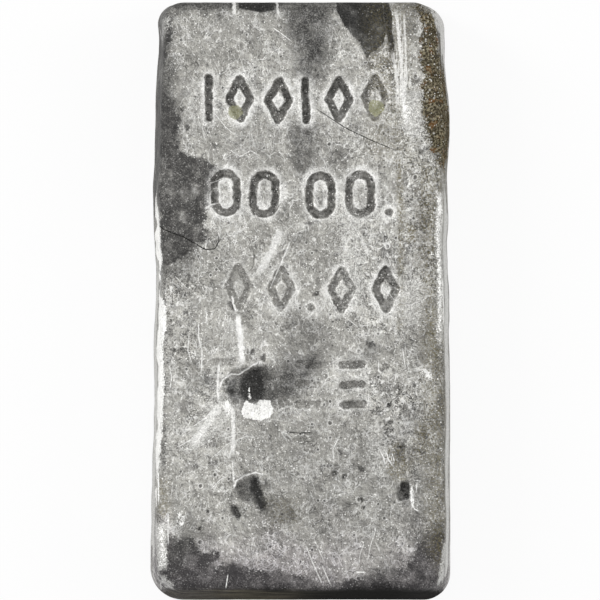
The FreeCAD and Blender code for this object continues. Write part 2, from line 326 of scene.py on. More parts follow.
def wall_profile():
    """Inset and height of each ring from the mould face's edge down to the foot."""
    shape = settings("bar_shape")
    draft = shape.draft
    shoulder = shape.shoulder_radius / MM
    foot = shape.foot_radius / MM
    top = TOP - shape.lip_room / MM
    shoulder_inset = (top - shoulder) * math.tan(draft) + shoulder / math.cos(draft)
    foot_inset = foot * math.tan(draft) + foot / math.cos(draft)
    shoulder_rings, wall_rings, foot_rings = 8, 11, 5
    rings = [
        (shoulder_inset - shoulder * math.cos(angle), top - shoulder + shoulder * math.sin(angle))
        for angle in np.linspace(math.pi / 2, draft, shoulder_rings)]
    wall_top = rings[-1][1]
    wall_foot = foot * (1 + math.sin(draft))
    rings += [
        (height * math.tan(draft), height)
        for height in np.linspace(wall_top, wall_foot, wall_rings)[1:-1]]
    rings += [
        (foot_inset - foot * math.cos(angle), foot + foot * math.sin(angle))
        for angle in np.linspace(draft, -math.pi / 2, foot_rings)]
    return rings


def loop_indices(across, along):
    """The grid's own points round its edge, anticlockwise from above."""
    rows = along + 1
    near = [column * rows for column in range(across)]
    right = [across * rows + row for row in range(along)]
    far = [column * rows + along for column in range(across, 0, -1)]
    left = list(range(along, 0, -1))
    return np.array(near + right + far + left)


def grid_faces(across, along, start, flip):
    """The four-sided faces of a grid of points."""
    rows = along + 1
    column, row = np.meshgrid(np.arange(across), np.arange(along), indexing="ij")
    corner = (start + column * rows + row).ravel()
    faces = np.stack([corner, corner + rows, corner + rows + 1, corner + 1], axis=1)
    return faces[:, ::-1] if flip else faces


def cast_form():
    """Points and faces of the closed bar before wear, and which points are walls or underneath."""
    shape = settings("bar_shape")
    across, along = shape.cells_across, shape.cells_along
    rings = wall_profile()
    face = sheet_between(outline(rings[0][0], across, along)).reshape(-1, 2)
    points = [np.column_stack([face, np.full(len(face), rings[0][1])])]
    faces = grid_faces(across, along, 0, False).tolist()
    upper = loop_indices(across, along)
    count = len(upper)
    total = len(face)
    for inset, height in rings[1:]:
        ring = np.concatenate([side[:-1] for side in outline(inset, across, along)])
        points.append(np.column_stack([ring, np.full(count, height)]))
        lower = total + np.arange(count)
        faces += np.stack([lower, np.roll(lower, -1), np.roll(upper, -1), upper], axis=1).tolist()
        upper = lower
        total += count
    wall_end = total
    border = 0.5
    inner = sheet_between(outline(rings[-1][0] + border, across // 2, along // 2)).reshape(-1, 2)
    points.append(np.column_stack([inner, np.zeros(len(inner))]))
    edge = total + loop_indices(across // 2, along // 2)
    for number, start in enumerate(edge):
        after = edge[(number + 1) % len(edge)]
        first, middle, last = (upper[(2 * number + more) % count] for more in (0, 1, 2))
        faces += [(start, middle, first), (start, after, middle), (after, last, middle)]
    faces += grid_faces(across // 2, along // 2, total, True).tolist()
    points = np.concatenate(points)
    wall = np.zeros(len(points))
    wall[len(face):wall_end] = 1.0
    under = np.zeros(len(points))
    under[wall_end:] = 1.0
    return points, faces, wall, under


# ---------------------------------------------------------------- wear and damage, in millimetres

# Places where the outline was knocked in or bulged out: side (-1 left, 1 right), place along
# the bar, reach along it, and push outwards.
EDGE_WEAR = (
    (-1, 14.2, 5, 0.2),
    (-1, 35, 4.5, -0.35),
    (-1, 2, 5.5, -0.36),
    (-1, -14, 7, -0.28),
    (1, 36, 3.5, 0.1),
    (1, 24, 6, 0.75),
    (1, 12, 3.5, 0.35),
    (1, 0, 6, 0.35),
    (1, -14, 8, 0.45),
    (1, -30, 7, 0.3),
)

# Hollows in the mould face: across, along, half width, half length, depth, lean (how much
# deeper the far side is), turn in degrees.
GOUGES = (
    (-7, -12, 3.4, 2.3, 1.3, 0.75, 18),
    (-5.7, -15.2, 2.1, 1.35, 0.35, -0.6, 0),
    (-6.3, -26.4, 1.9, 2.7, 0.8, 0.7, 28),
    (-8.6, -29, 0.6, 1.2, 0.45, 0, 35),
    (13.8, -26.4, 0.85, 1.5, 0.8, 0.2, 0),
    (12, 35, 0.45, 4.6, 0.5, 0, 11),
)

# Small pits: across, along, half width, half length, depth, turn in degrees.
PITS = (
    (-9.1, -1.4, 0.42, 0.85, 0.4, 32),
    (2.1, 30.3, 0.22, 0.22, 0.3, 0),
    (2.4, 29.6, 0.22, 0.25, 0.3, 0),
    (2.2, 0.2, 0.55, 0.35, 0.2, 20),
    (11.9, -14.7, 0.32, 0.35, 0.45, 0),
    (-16.2, -30.5, 0.24, 0.24, 0.3, 0),
    (-13.4, -31.2, 0.25, 0.25, 0.3, 0),
    (-12.3, -28.9, 0.22, 0.26, 0.3, 0),
    (8.2, -27.3, 0.22, 0.5, 0.35, 15),
    (8.5, -28.4, 0.24, 0.3, 0.35, 0),
    (-6.3, -7.6, 0.4, 0.45, 0.25, 0),
    (-4.9, -8.4, 0.45, 0.5, 0.25, 0),
    (9.4, -6.6, 0.8, 0.45, 0.25, -15),
    (4.7, -23.8, 0.5, 0.35, 0.25, 0),
    (5.9, -24.2, 0.45, 0.3, 0.25, 30),
    (8.2, -23.2, 0.65, 0.4, 0.25, -25),
    (5.4, -21, 0.3, 0.5, 0.25, 30),
    (-15.8, 24.9, 0.3, 0.3, 0.3, 0),
    (-15.1, 22.5, 0.35, 0.5, 0.3, 0),
    (13.6, -20.4, 0.7, 0.4, 0.25, -30),
)


def smooth(value, low, high):
    """A smooth step of an array from 0 at low to 1 at high."""
    part = np.clip((value - low) / (high - low), 0.0, 1.0)
    return part * part * (3 - 2 * part)


def wear_edges(points):
    """Hand wear of the long sides, a nick in the left shoulder and a worn far right corner."""
    x, y, z = points.T
    side = np.sign(x)
    soft_border, worn_border = 4.0, 1.5
    outer = smooth(np.abs(x), HALF_WIDTH - soft_border, HALF_WIDTH - worn_border)
    for wanted, place, reach, push in EDGE_WEAR:
        strength = push * np.exp(-(((y - place) / reach) ** 2)) * outer
        x += np.where(side == wanted, side * strength, 0.0)
    wobble = [noise.noise(Vector((px * 0.35, py * 0.35, pz * 0.18))) for px, py, pz in points]
    x += side * outer * 0.09 * np.array(wobble)
    nick_place, nick_reach, nick_depth, nick_length = 8.5, 1.15, 3.4, 3.9
    along_nick = 1 - smooth(np.abs(y - nick_place), nick_length - 0.5, nick_length + 0.4)
    climb = np.clip((z - (TOP - nick_depth)) / nick_depth, 0.0, 1.0)
    cut = -HALF_WIDTH + 0.85 + climb * nick_reach
    x += np.where((x < cut) & (x < 0), (cut - x) * along_nick * (climb > 0), 0.0)
    corner_length, corner_reach, corner_depth = 30.2, 2.1, 4.2
    beyond = smooth(y, corner_length, corner_length + 0.8)
    fall = np.clip((z - (TOP - corner_depth)) / corner_depth, 0.0, 1.0)
    slope = smooth(y, corner_length, HALF_LENGTH) * 0.9
    cut = HALF_WIDTH - 0.75 - fall * (corner_reach - 0.9 + slope)
    x -= np.where((x > cut) & (x > 0), (x - cut) * beyond * (fall > 0), 0.0)
    points[:, 0] = x


def ellipse_radius(points, place, reach, turn, unevenness=0.0):
    """How far each point lies from a turned, uneven ellipse's middle, as a share of its edge."""
    angle = math.radians(turn)
    rel = points[:, :2] - place
    across = (rel[:, 0] * math.cos(angle) + rel[:, 1] * math.sin(angle)) / reach[0]
    along = (rel[:, 1] * math.cos(angle) - rel[:, 0] * math.sin(angle)) / reach[1]
    heading = np.arctan2(along, across)
    waves = (np.sin(3 * heading + place[0]) + 0.7 * np.sin(5 * heading + place[1])
             + 0.5 * np.sin(9 * heading))
    return np.hypot(across, along) * (1 + unevenness * waves), along


def scoop(points, place, reach, depth, lean, turn, unevenness, rim):
    """Presses one hollow with a raised rim. Returns how deep each point lies in it."""
    radius, along = ellipse_radius(points, place, reach, turn, unevenness)
    near_top = points[:, 2] > TOP - 3.0
    tilt = np.clip(1 + lean * along, 0.1, None)
    bowl = np.clip(1 - radius**2, 0.0, None) ** 0.5 * tilt / (1 + abs(lean))
    lip_place, lip_width = 1.1, 0.13
    lip = rim * np.exp(-(((radius - lip_place) / lip_width) ** 2))
    points[:, 2] += np.where(near_top, lip - depth * bowl, 0.0)
    return np.where(near_top, bowl, 0.0)


def damage(points):
    """Every gouge and pit. Returns how much painted shade each point gets from lying in one."""
    hollow_shade = np.zeros(len(points))
    for across, along, *reach, depth, lean, turn in GOUGES:
        deep = scoop(
            points, (across, along), reach, depth, lean, turn, unevenness=0.07, rim=0.06)
        hollow_shade = np.maximum(hollow_shade, deep * smooth(np.array(reach[0]), 1.8, 0.9))
    for across, along, *reach, depth, turn in PITS:
        deep = scoop(points, (across, along), reach, depth, 0.0, turn, unevenness=0.1, rim=0.03)
        hollow_shade = np.maximum(hollow_shade, 0.9 * deep**0.5)
    return hollow_shade


# ---------------------------------------------------------------- stain, shade and highlight fields, in millimetres

# Each entry is its edge softness, its strength and its corners, across and along the face.
BLACK_FLOWS_AND_HOLLOW_SHADE = (
    (0.12, 0.8, ((4.6, 42), (4.9, 38.2), (5.9, 36.2), (6.9, 35), (8.1, 33.9), (8.5, 32.7),
        (9, 31.6), (9.6, 32.6), (10.4, 33), (11.2, 33.9), (11.6, 35.2), (11.2, 38), (11.2, 42))),
    (1.2, 1, ((7.2, 35), (9, 37.6), (11.2, 38), (11.2, 34), (9.8, 32.6), (8.6, 33))),
    (0.15, 1, ((11.1, 39.8), (11.9, 39.6), (12.4, 37.4), (12.3, 35.6), (12.75, 33), (12.5, 33),
        (11.9, 35.4), (11.4, 37.4))),
    (0.3, 1, ((-8.4, 41), (-3.7, 41), (-3.4, 38.3), (-5.2, 38), (-8.2, 38.6))),
    # The next five entries paint shade into the hollows of the gouges; the rest are black tarnish.
    (0.9, 1, ((-8, -13.8), (-8.2, -11.2), (-6.6, -10), (-5.4, -9.6), (-4.9, -10.6), (-4.6, -12.6),
        (-5, -13.9), (-6.2, -14.2))),
    (0.5, 0.7, ((-10, -12.6), (-9.4, -11.2), (-8.4, -11), (-8.4, -13.8), (-9.4, -13.6))),
    (0.8, 0.95, ((-6.8, -24.5), (-5.7, -24.2), (-5.2, -25.6), (-4.3, -27.9), (-4.8, -29),
        (-5.6, -28.6), (-6.2, -27), (-6.8, -26.2))),
    (0.3, 0.8, ((-9.3, -28), (-8.4, -28.3), (-7.7, -29.5), (-8, -30), (-8.9, -29.4))),
    (0.5, 0.95, ((13.4, -25), (14.7, -24.9), (14.6, -27.5), (13.7, -27.2))),
    (1, 0.62, ((-9, -38.6), (-6, -38.2), (-1, -38.6), (0, -41), (-11, -41))),
    (0.9, 0.85, ((2, -40.4), (5.5, -39.4), (7.5, -38.5), (12, -38.3), (13.8, -39.2), (14, -41),
        (2, -41))),
    (0.35, 0.8, ((18.5, 36.4), (18.9, 35.6), (19.2, 32), (19, 29.6), (18.6, 30), (18.6, 33))),
)
PATINA = (
    (0.75, 1, ((-22, 31), (-18.4, 28.6), (-17.4, 26.4), (-16.4, 24), (-16.3, 19.6), (-14.5, 18.7),
        (-12.4, 18.3), (-11.6, 17.3), (-11.6, 15.6), (-12.3, 14.6), (-11.4, 12.8), (-12.6, 11.3),
        (-13, 9.5), (-12.6, 7.6), (-13.8, 6.4), (-15.9, 4.6), (-18.9, 4), (-19, 12.5),
        (-22, 13.5))),
    (0.8, 1, ((-22, 38), (-17.2, 37.4), (-17.4, 34), (-18.2, 31), (-22, 31))),
    (0.9, 0.95, ((-18, 42), (-9.2, 42), (-9, 38.9), (-13, 39.1), (-16.7, 38.9))),
    (0.8, 1, ((-18.9, -31.6), (-15.9, -32.6), (-14.1, -32.5), (-13, -34.2), (-10.7, -34.4),
        (-11.2, -35.9), (-7.3, -36.3), (-3.6, -36.9), (0.2, -37.6), (1, -39.2), (5.2, -39.3),
        (6.5, -38), (9, -37.4), (9, -42), (-19, -42))),
    (0.8, 1, ((8, -37.6), (10.6, -36.9), (14, -36.6), (14.9, -34.6), (16.2, -32.1), (17.3, -30.4),
        (19, -30), (19.4, -42), (8, -42))),
)
HAZE_AND_HOLLOW_SHADE = (
    (1.4, 0.75, ((-22, 36), (-17.6, 35), (-16.4, 28), (-15.6, 25), (-15.8, 20), (-22, 18))),
    (1, 0.55, ((-22, 6), (-13.6, 6.8), (-13.6, 3.6), (-15, 2), (-22, 1.8))),
    (1.2, 1, ((-2.6, 42), (5.2, 42), (4.4, 36), (3.6, 31), (2.6, 28.6), (0.6, 28.2), (-0.6, 31),
        (-1.8, 35))),
    (0.8, 0.5, ((3.6, 42), (5.4, 37), (4.2, 30), (1, 28))),
    (0.9, 0.75, ((-1.8, 23.2), (2, 23.4), (2.4, 17.4), (0.6, 15.4), (-0.8, 16.6))),
    (0.8, 0.55, ((3.4, 20.2), (6.6, 19.4), (6, 17.4), (3.8, 17.6))),
    # This entry paints shade into the middle gouge.
    (0.5, 0.9, ((-9.8, -14), (-10.2, -12.4), (-9, -10.6), (-6.6, -9.6), (-4.4, -9.2), (-3, -10.6),
        (-2.2, -13), (-3.4, -14.4), (-7, -14.6))),
    (1.3, 1, ((-5, -10.2), (-1.5, -9), (1.4, -7.2), (3, -6.8), (3.2, -9), (1, -12), (-0.8, -13.9),
        (-4.4, -14.4))),
    (1.3, 0.5, ((-1.5, -2), (3.5, -3.5), (5, -8), (1, -9), (-3, -7.5))),
    (0.9, 0.55, ((-15, -10.6), (-11.6, -10.9), (-11.8, -13), (-14.6, -12.8))),
    (0.7, 0.4, ((3.7, 8.2), (5.2, 8), (5, 6.4), (3.4, 6.6))),
    (0.9, 0.45, ((-1.4, 8.6), (0.4, 8), (0.2, 5.2), (-1, 4.8))),
    # This entry paints shade into the lower gouge.
    (0.35, 0.85, ((-8.8, -25.6), (-8, -24.7), (-6.2, -24), (-5, -25.4), (-5.2, -27.8),
        (-6.9, -27.9), (-8.3, -27.3))),
    (1, 0.7, ((-4.9, -26.6), (-1.5, -26.8), (0.2, -28.5), (0, -30.8), (-3.2, -31.2), (-5, -29.5))),
    (0.35, 0.5, ((-16.1, -29.3), (-14.6, -29.1), (-13.4, -30.1), (-13, -31.7), (-13.9, -33),
        (-15.4, -32.8))),
    (0.3, 0.45, ((-13.8, -32.2), (-12.4, -31.3), (-11.2, -31.2), (-10.9, -33), (-12.4, -34.6))),
    (0.6, 0.5, ((7.8, -9), (8.3, -6.4), (9, -4.4), (9.9, -6.2), (11.4, -7), (11, -8))),
    # The next two broad, soft entries only darken the near part of the face, mostly right of its
    # middle.
    (4, 0.34, ((-6, -17), (14, -15), (18.5, -20), (18.5, -36), (-3, -35), (-7, -28))),
    (2.5, 0.45, ((11, -17), (19.5, -12), (19.5, -36), (13, -34))),
    (0.9, 0.6, ((10.6, -20.4), (14, -20), (14.6, -23), (11, -24))),
    (0.6, 0.5, ((2.6, -22), (6, -22.6), (8.8, -22.4), (8.4, -24.4), (3.4, -25))),
    (1, 0.95, ((-22, 42), (4, 42), (4, 38), (-9, 38.2), (-17, 38), (-18.6, 36), (-22, 36))),
    (0.9, 0.5, ((4, 42), (17, 42), (16.6, 38.2), (4, 38.7))),
    (1.2, 0.55, ((12.4, 40), (16.6, 40), (16.2, 35), (13.6, 34.6))),
    (1.5, 0.3, ((-13.5, 40), (-5, 40), (-5, 33.6), (-12.6, 34.2))),
    (1.5, 0.3, ((-8.6, 24), (-3.6, 24), (-3.6, 17.6), (-8.6, 17.6))),
    (0.8, 0.5, ((-16.6, -29.6), (-12.4, -30.2), (-11.4, -34.6), (-16.6, -34))),
    (1.2, 0.6, ((-19, -33), (-9, -35.4), (1, -37), (8, -36.5), (15, -34), (19.5, -28), (19.5, -42),
        (-19, -42))),
    (1.4, 0.35, ((14.8, 6), (18, 6), (18, -12), (15, -12))),
    (0.7, 0.45, ((14.8, 14), (17.6, 14), (17.8, 2), (15.8, 2))),
)
OLIVE = (
    (1, 0.55, ((15.5, 18), (19.6, 18), (19.4, 8), (17.8, 4), (19.4, -6), (19.4, -38), (17, -34),
        (16.4, -12), (16, 2))),
    (1.5, 0.4, ((9, 40), (15.4, 40), (15.4, 16), (9, 19))),
    (0.3, 0.75, ((12.8, 18.4), (13.6, 18.2), (13.9, 10), (13.8, -4.6), (13, -4.6), (13.2, 8))),
    (0.35, 0.9, ((14.1, 9.6), (15.4, 9.4), (15.5, 7.2), (14.3, 7))),
    (0.5, 0.8, ((16.6, -3.1), (18.1, -3.5), (18.4, -9), (17.2, -8.6))),
    (0.6, 0.6, ((10.8, -21), (13.2, -19.6), (15, -22.5), (13.8, -25), (11.2, -24))),
    (0.8, 0.55, ((15.4, -17), (19, -16), (19, -24), (15, -22))),
    (0.5, 0.55, ((9, 33), (12.4, 33), (12.6, 27), (9.6, 27.4))),
    (0.8, 0.3, ((-4.5, -27), (0, -27), (0.2, -31), (-4, -31))),
    (0.5, 0.5, ((-19.4, -24.5), (-17.4, -24.5), (-17.3, -29.5), (-19.2, -29.5))),
    (0.8, 0.35, ((14, 39.8), (17.6, 39.8), (17.4, 36), (14.6, 36.6))),
)
CRUST = (
    (0.7, 1, ((15.6, 39), (17, 38.4), (17.9, 37), (18.5, 35.8), (18.7, 32), (19.2, 29.6),
        (20, 27.4), (22, 26.6), (22, 17.6), (18.9, 17.2), (17.5, 19.5), (16.7, 22.2), (16.2, 24.6),
        (16.6, 26.2), (16.2, 27.9), (16.6, 29.6), (16.2, 31.6), (16.2, 35), (16.6, 36.3),
        (16.2, 37.2))),
)
BARE = (
    (0.15, 1, ((17.3, 41), (18.6, 42), (22, 40), (22, 28), (19.7, 29.6), (19.1, 32.3),
        (18.9, 34.9), (18.4, 36.2), (17.7, 37.6))),
    (0.8, 0.7, ((13.2, 28.4), (16, 27.4), (16.8, 22), (15, 20), (13.2, 22.5))),
    (0.35, 0.75, ((17.9, 14), (18.9, 14), (18.9, -6.5), (18.2, -6.5))),
    (0.5, 0.35, ((14.2, 34), (16, 33.6), (16, 29), (14.4, 29))),
    (1.5, 0.55, ((11.5, 3.2), (17.4, 3.2), (17.4, -4.5), (11.8, -4.5))),
    (0.9, 0.5, ((10.6, -18.4), (8.4, -19), (8.6, -25), (12, -25), (12.4, -19))),
    (0.5, 0.6, ((-19.8, -36.6), (-17.8, -37.4), (-16.4, -38.8), (-18, -39.6), (-20.4, -38))),
    (0.3, 0.9, ((-21, 4.4), (-19.4, 4.4), (-19.4, 0), (-21, 0))),
    (0.15, 1, ((19.1, 13.5), (19.75, 13.5), (19.8, -6), (19.8, -37), (19.3, -37), (19.2, -20),
        (19.05, -6))),
    (0.1, 0.9, ((19.95, 16), (22, 16), (22, -38), (20, -38))),
    (0.35, 0.6, ((17.8, 11), (18.6, 11), (18.6, -7), (17.9, -7))),
    (0.3, 0.8, ((18.8, -33), (19.4, -33), (19.2, -37.6), (18.5, -39), (18.2, -38.4))),
    (0.4, 0.9, ((-19.5, -30.6), (-17.8, -30.6), (-17.6, -36.6), (-19, -36.8))),
    (0.15, 1, ((-22, 4), (-19.6, 4), (-19.5, -20), (-19.6, -34), (-22, -35))),
    (0.4, 0.5, ((-20.2, 36.6), (-17.6, 38.2), (-17.2, 36.6), (-18.6, 34.6))),
    (0.7, 0.62, ((-11.8, -12.6), (-8.4, -14.4), (-9.6, -17.6), (-13.2, -20.8), (-16.2, -21.6))),
    (0.5, 0.45, ((-2.2, 9.6), (-0.8, 9), (-5, 1.6), (-7.2, 0.4))),
    (0.6, 0.35, ((5.8, 26.6), (7.2, 26.6), (7.4, 22.6), (5.8, 22.6))),
    (1.2, 0.45, ((-16, 28.5), (-13.2, 28.5), (-13.2, 22), (-15.6, 21.6))),
    (1.6, 0.52, ((3.8, 12.4), (9.4, 12.4), (9.4, -3), (4.6, -3))),
    (1.2, 0.45, ((-10.6, -1), (-8.4, -1), (-7, -8), (-8.6, -10.4), (-11, -8))),
    (1, 0.4, ((-19, -3), (-16, -5), (-15.6, -22), (-18.4, -24))),
)
# Painted highlights: bright strips on the shoulders and on the ramps of the gouges.
PAINTED_HIGHLIGHTS = (
    (0.3, 1, ((-19.4, -0.6), (-18.9, -0.1), (-18.1, -1.6), (-18, -4.6), (-18.45, -6.4),
        (-18.3, -9), (-18.4, -13), (-18.6, -16), (-18.55, -19), (-18.8, -22.4), (-19.15, -24.6),
        (-19.6, -20), (-19.55, -12))),
    (0.3, 1, ((-22, 12.2), (-19.2, 12.6), (-18.8, 10.6), (-18.75, 8), (-18.9, 6.4), (-18.7, 5),
        (-19.1, 3.6), (-22, 4))),
    (0.12, 0.85, ((-19.5, -25.2), (-19.1, -25.4), (-19.2, -28.4), (-19.5, -28))),
    (0.1, 1, ((-7.9, -15.7), (-7.3, -14), (-6.1, -14.7), (-5.3, -14), (-4, -14.1), (-3.6, -15.2),
        (-4, -16.4), (-5.4, -16.8), (-7.3, -16.4))),
    (0.2, 0.9, ((-19.6, 3.2), (-19, 3), (-19.1, 1.2), (-19.6, 1))),
    (0.35, 0.75, ((16.2, -9.8), (17.4, -10), (17.7, -11.6), (17.1, -11.4), (16.6, -10.8))),
    (0.22, 0.85, ((14.7, -25.2), (15, -25.4), (15.2, -27.4), (15, -28.6), (14.7, -27.6))),
    (0.35, 0.52, ((-19.2, -31), (-17.9, -31), (-17.8, -36), (-18.8, -36.4))),
    (0.2, 0.6, ((-16.4, -28.6), (-15.2, -29.8), (-15.6, -31), (-16.4, -30.4))),
    (0.15, 0.9, ((-6.9, -12.6), (-6.75, -12.2), (-6.6, -13.8), (-6.8, -14))),
    (0.3, 0.6, ((-10.6, -14.6), (-9.4, -13.6), (-8.8, -15.2), (-9.6, -16.2))),
    (0.3, 0.62, ((18, 13.4), (18.75, 13.4), (18.7, 2), (18.6, -5), (18.2, -5), (18.1, 8))),
    (0.3, 0.56, ((13.6, 26.6), (14.6, 26), (14.8, 22.6), (13.8, 23.4))),
    (0.3, 0.3, ((16.8, 19.6), (17.8, 18.9), (18.2, 15.6), (17.4, 16.8))),
)
PEPPER = (
    (0.8, 1, ((8.7, 33), (12.6, 33), (13, 25), (9.5, 24.5))),
    (1.2, 1, ((8.3, -10), (14, -10), (17.5, -16), (15, -24), (9.5, -18))),
    (1.2, 1, ((12.6, 29), (16.4, 29), (19.5, 19), (19.5, 0), (14, 0), (13.4, 12))),
    (1, 0.8, ((-19.6, 2), (-14, 2), (-14, -8), (-19, -8))),
    (0.6, 1, ((-19.8, -29.5), (-17.4, -29.5), (-17.3, -37), (-19.8, -37))),
    (1, 0.8, ((14, -32), (19.6, -28), (19.6, -39), (13, -39))),
    (1.5, 0.7, ((4, 13), (13, 11), (14, -6), (5, -4))),
    (1, 0.9, ((-13, -10), (-9, -13), (-12, -21), (-17, -21))),
)
# Each spot is its place across and along the face, and its radius.
WAX_SPOTS = ((-8.7, 24.6, 0.95), (10.2, 25.2, 1.05))

# Scores in the face: half width, brightness (below 0 is dark) and the points that they run
# through.
SCORES = (
    (0.06, -1, ((-19.9, 10.4), (-18.2, 8.8), (-15.4, 7.7), (-13.5, 6.6), (-12.6, 6.1),
        (-11.4, 6.2), (-10.8, 7.3), (-11.2, 8.7), (-11.9, 8.7))),
    (0.05, -0.45, ((-8.3, 8.7), (-6.8, 7.6), (-6.1, 5.4), (-6.3, 3.7), (-7.1, 2.9), (-8.7, 3.3))),
    (0.05, -0.9, ((1.8, 25.3), (6, 22.5), (9.3, 20.9), (13.6, 19.1))),
    (0.05, -0.9, ((-2.1, -18.3), (-0.1, -18.45), (2, -18.4))),
    (0.05, 0.9, ((-3.7, 36), (-2.4, 35.1), (-1, 34))),
    (0.34, 1, ((-8.3, -2.4), (-8.1, -4.5), (-7.9, -6.5), (-7.7, -9.6))),
    (0.24, 0.6, ((-9, -14.8), (-8.9, -18.2), (-9, -21.8))),
    (0.09, 0.55, ((-9.1, -20.7), (-8.8, -25.5))),
    (0.14, 0.8, ((-10.8, -8.9), (-11, -11.5), (-10.9, -14.4))),
    (0.08, 0.7, ((-13.5, -3.3), (-13.6, -5.5), (-13.1, -7.5), (-13.2, -10.9))),
    (0.07, 0.6, ((-12.6, -1.9), (-12.4, -4))),
    (0.45, 0.5, ((-2.4, 9), (-4, 5.5), (-5.9, 2.3))),
    (0.08, 0.6, ((-1.2, 7.4), (-4.1, 0.7))),
    (0.4, 0.45, ((-10.6, -14.4), (-12.5, -17.5), (-14.9, -20.4))),
    (0.07, 0.5, ((0.7, -33.2), (1.6, -35.5), (3.1, -38.9))),
    (0.07, 0.5, ((2.9, -36), (4.2, -39))),
    (0.06, 0.4, ((1.9, -32.6), (3.3, -35.8))),
    (0.06, 0.8, ((-9.6, -37.3), (-9.9, -39.2))),
    (0.1, 0.9, ((7.5, -37), (8.7, -37))),
    (0.2, 0.6, ((-8.9, 40.2), (-8.8, 37.4))),
    (0.14, 0.5, ((-3.2, 40), (-2.8, 37.2))),
    (0.2, 0.6, ((12.8, 38.8), (13.2, 35.6), (13.5, 31.6), (13.8, 27.8), (13.5, 24.6))),
    (0.12, 0.5, ((13.9, 38.4), (14.1, 34), (14.3, 29), (13.9, 25), (13.5, 22.6))),
    (0.2, 0.5, ((12.3, 33.2), (12.9, 30), (13.1, 27), (12.9, 24.6))),
    (0.06, 0.6, ((-12.1, 15), (-9.9, 15.8))),
    (0.1, 0.8, ((-12.8, 11.5), (-12, 12.1), (-11, 12.4))),
    (0.06, 0.6, ((13.7, -7), (14.1, -9.9))),
    (0.12, 0.8, ((-9.1, 0), (-8.9, -1.2), (-8.3, -2.8))),
    (0.1, 0.9, ((-10.9, -13), (-10.4, -11.4), (-9.2, -10.5), (-8.2, -10.6), (-6.4, -9.4),
        (-5.3, -8.9), (-4.3, -9.3))),
    (0.1, 0.9, ((-8.9, -26), (-8.5, -24.8), (-7.4, -24.1), (-5.9, -23.7), (-4.6, -24.1))),
    (0.09, 0.9, ((-18.9, -23.4), (-18.9, -28.1))),
    (0.09, 0.8, ((-17.6, -28.8), (-17.6, -33.6))),
    (0.07, 0.7, ((10.5, -8.7), (10.5, -10.4))),
    (0.1, 0.8, ((18.9, 12), (18.9, 6))),
    (0.1, 0.8, ((18.85, 2.5), (18.95, -4.5))),
    (0.08, -0.7, ((19.3, 13), (19.35, -6), (19.5, -35))),
    (0.05, 0.6, ((-16.8, 2.6), (-14.8, 0.6))),
    (0.05, 0.6, ((-12, -22), (-9.5, -19.8), (-6.5, -18.6))),
    (0.09, 0.9, ((10.6, -20.6), (11.1, -21.6), (11.4, -22.8))),
    (0.08, 0.9, ((11.5, -20.9), (11.8, -22), (12.4, -22.9))),
    (0.06, 0.9, ((12.3, -21.2), (12.6, -22.2))),
    (0.08, 0.8, ((14.9, -27.8), (15.3, -28.6), (15.9, -28.9))),
    (0.06, 0.7, ((15.6, -25.2), (15.5, -26.4))),
    (0.06, 0.7, ((5.2, -19), (4.4, -20.6), (4.5, -22.2))),
    (0.05, 0.45, ((8.6, -33), (8, -34.6), (7.8, -36.2))),
    (0.05, 0.45, ((10.2, -31), (9.4, -33.4), (8.9, -36))),
    (0.06, 0.8, ((-11.9, -26), (-10.6, -24.6), (-9.6, -24.2))),
    (0.06, 0.8, ((-14.6, -17.8), (-12.6, -16.4), (-11.4, -15))),
    (0.06, 0.8, ((-16.4, -20.4), (-14.4, -19.2), (-12.6, -17.4))),
    (0.05, 0.8, ((-17.6, -9), (-17.2, -11), (-17.6, -13))),
    (0.05, 0.8, ((-14.8, -5), (-15, -7.4), (-14.4, -9.2))),
    (0.05, 0.7, ((-11.6, 24.6), (-10, 22.6), (-8.6, 21.4))),
    (0.05, 0.6, ((-9.6, 19.6), (-8, 18.6), (-6.6, 19.4), (-5.2, 18.6))),
    (0.05, 0.7, ((7, 9.6), (8.4, 7), (10.6, 6.2), (12.4, 7.4))),
    (0.05, 0.7, ((11, 1.4), (12.6, -0.6), (14.6, -1.4), (16.4, -0.6))),
    (0.05, 0.7, ((6.2, -3), (7.6, -4.2), (9.4, -4))),
)


def inside_distance(points, corners):
    """How far each point lies inside a polygon. Outside, it is below zero."""
    start = np.array(corners, float)
    end = np.roll(start, -1, axis=0)
    edge = end - start
    rel = points[:, None, :2] - start[None]
    share = np.clip((rel * edge).sum(2) / (edge * edge).sum(1), 0.0, 1.0)
    away = np.linalg.norm(rel - share[..., None] * edge, axis=2).min(axis=1)
    py = points[:, None, 1]
    slope = np.where(edge[:, 1] == 0, 1.0, edge[:, 1])
    level = (start[:, 1] > py) != (end[:, 1] > py)
    crossed = level & (rel[..., 0] < edge[:, 0] * rel[..., 1] / slope)
    return np.where(crossed.sum(axis=1) % 2 == 1, away, -away)


def stain_field(points, stains, facing_up):
    """The strongest of the listed stains, shades and highlights at each point, from 0 to 1."""
    field = np.zeros(len(points))
    for softness, strength, corners in stains:
        amount = np.clip(0.5 + inside_distance(points, corners) / (2 * softness), 0.0, 1.0)
        field = np.maximum(field, strength * amount)
    return field * facing_up


def wander_down(points):
    """Where each point looks its fields up: they wander as they run down the walls."""
    down = smooth(TOP - points[:, 2], 0.6, 7.0)
    to_side = HALF_WIDTH - np.abs(points[:, 0])
    to_end = HALF_LENGTH - np.abs(points[:, 1])
    on_end = smooth(to_side - to_end, -1.5, 1.5)
    run = points[:, 1] + on_end * (points[:, 0] - points[:, 1])
    height = points[:, 2]
    drift = down * (
        1.4 * np.sin(0.55 * height + 0.45 * run) + 0.8 * np.sin(1.3 * height - 0.9 * run + 1.0)
        + 0.4 * np.sin(2.9 * height + 2.1 * run))
    placed = points.copy()
    placed[:, 0] += on_end * drift
    placed[:, 1] += (1 - on_end) * drift
    return placed


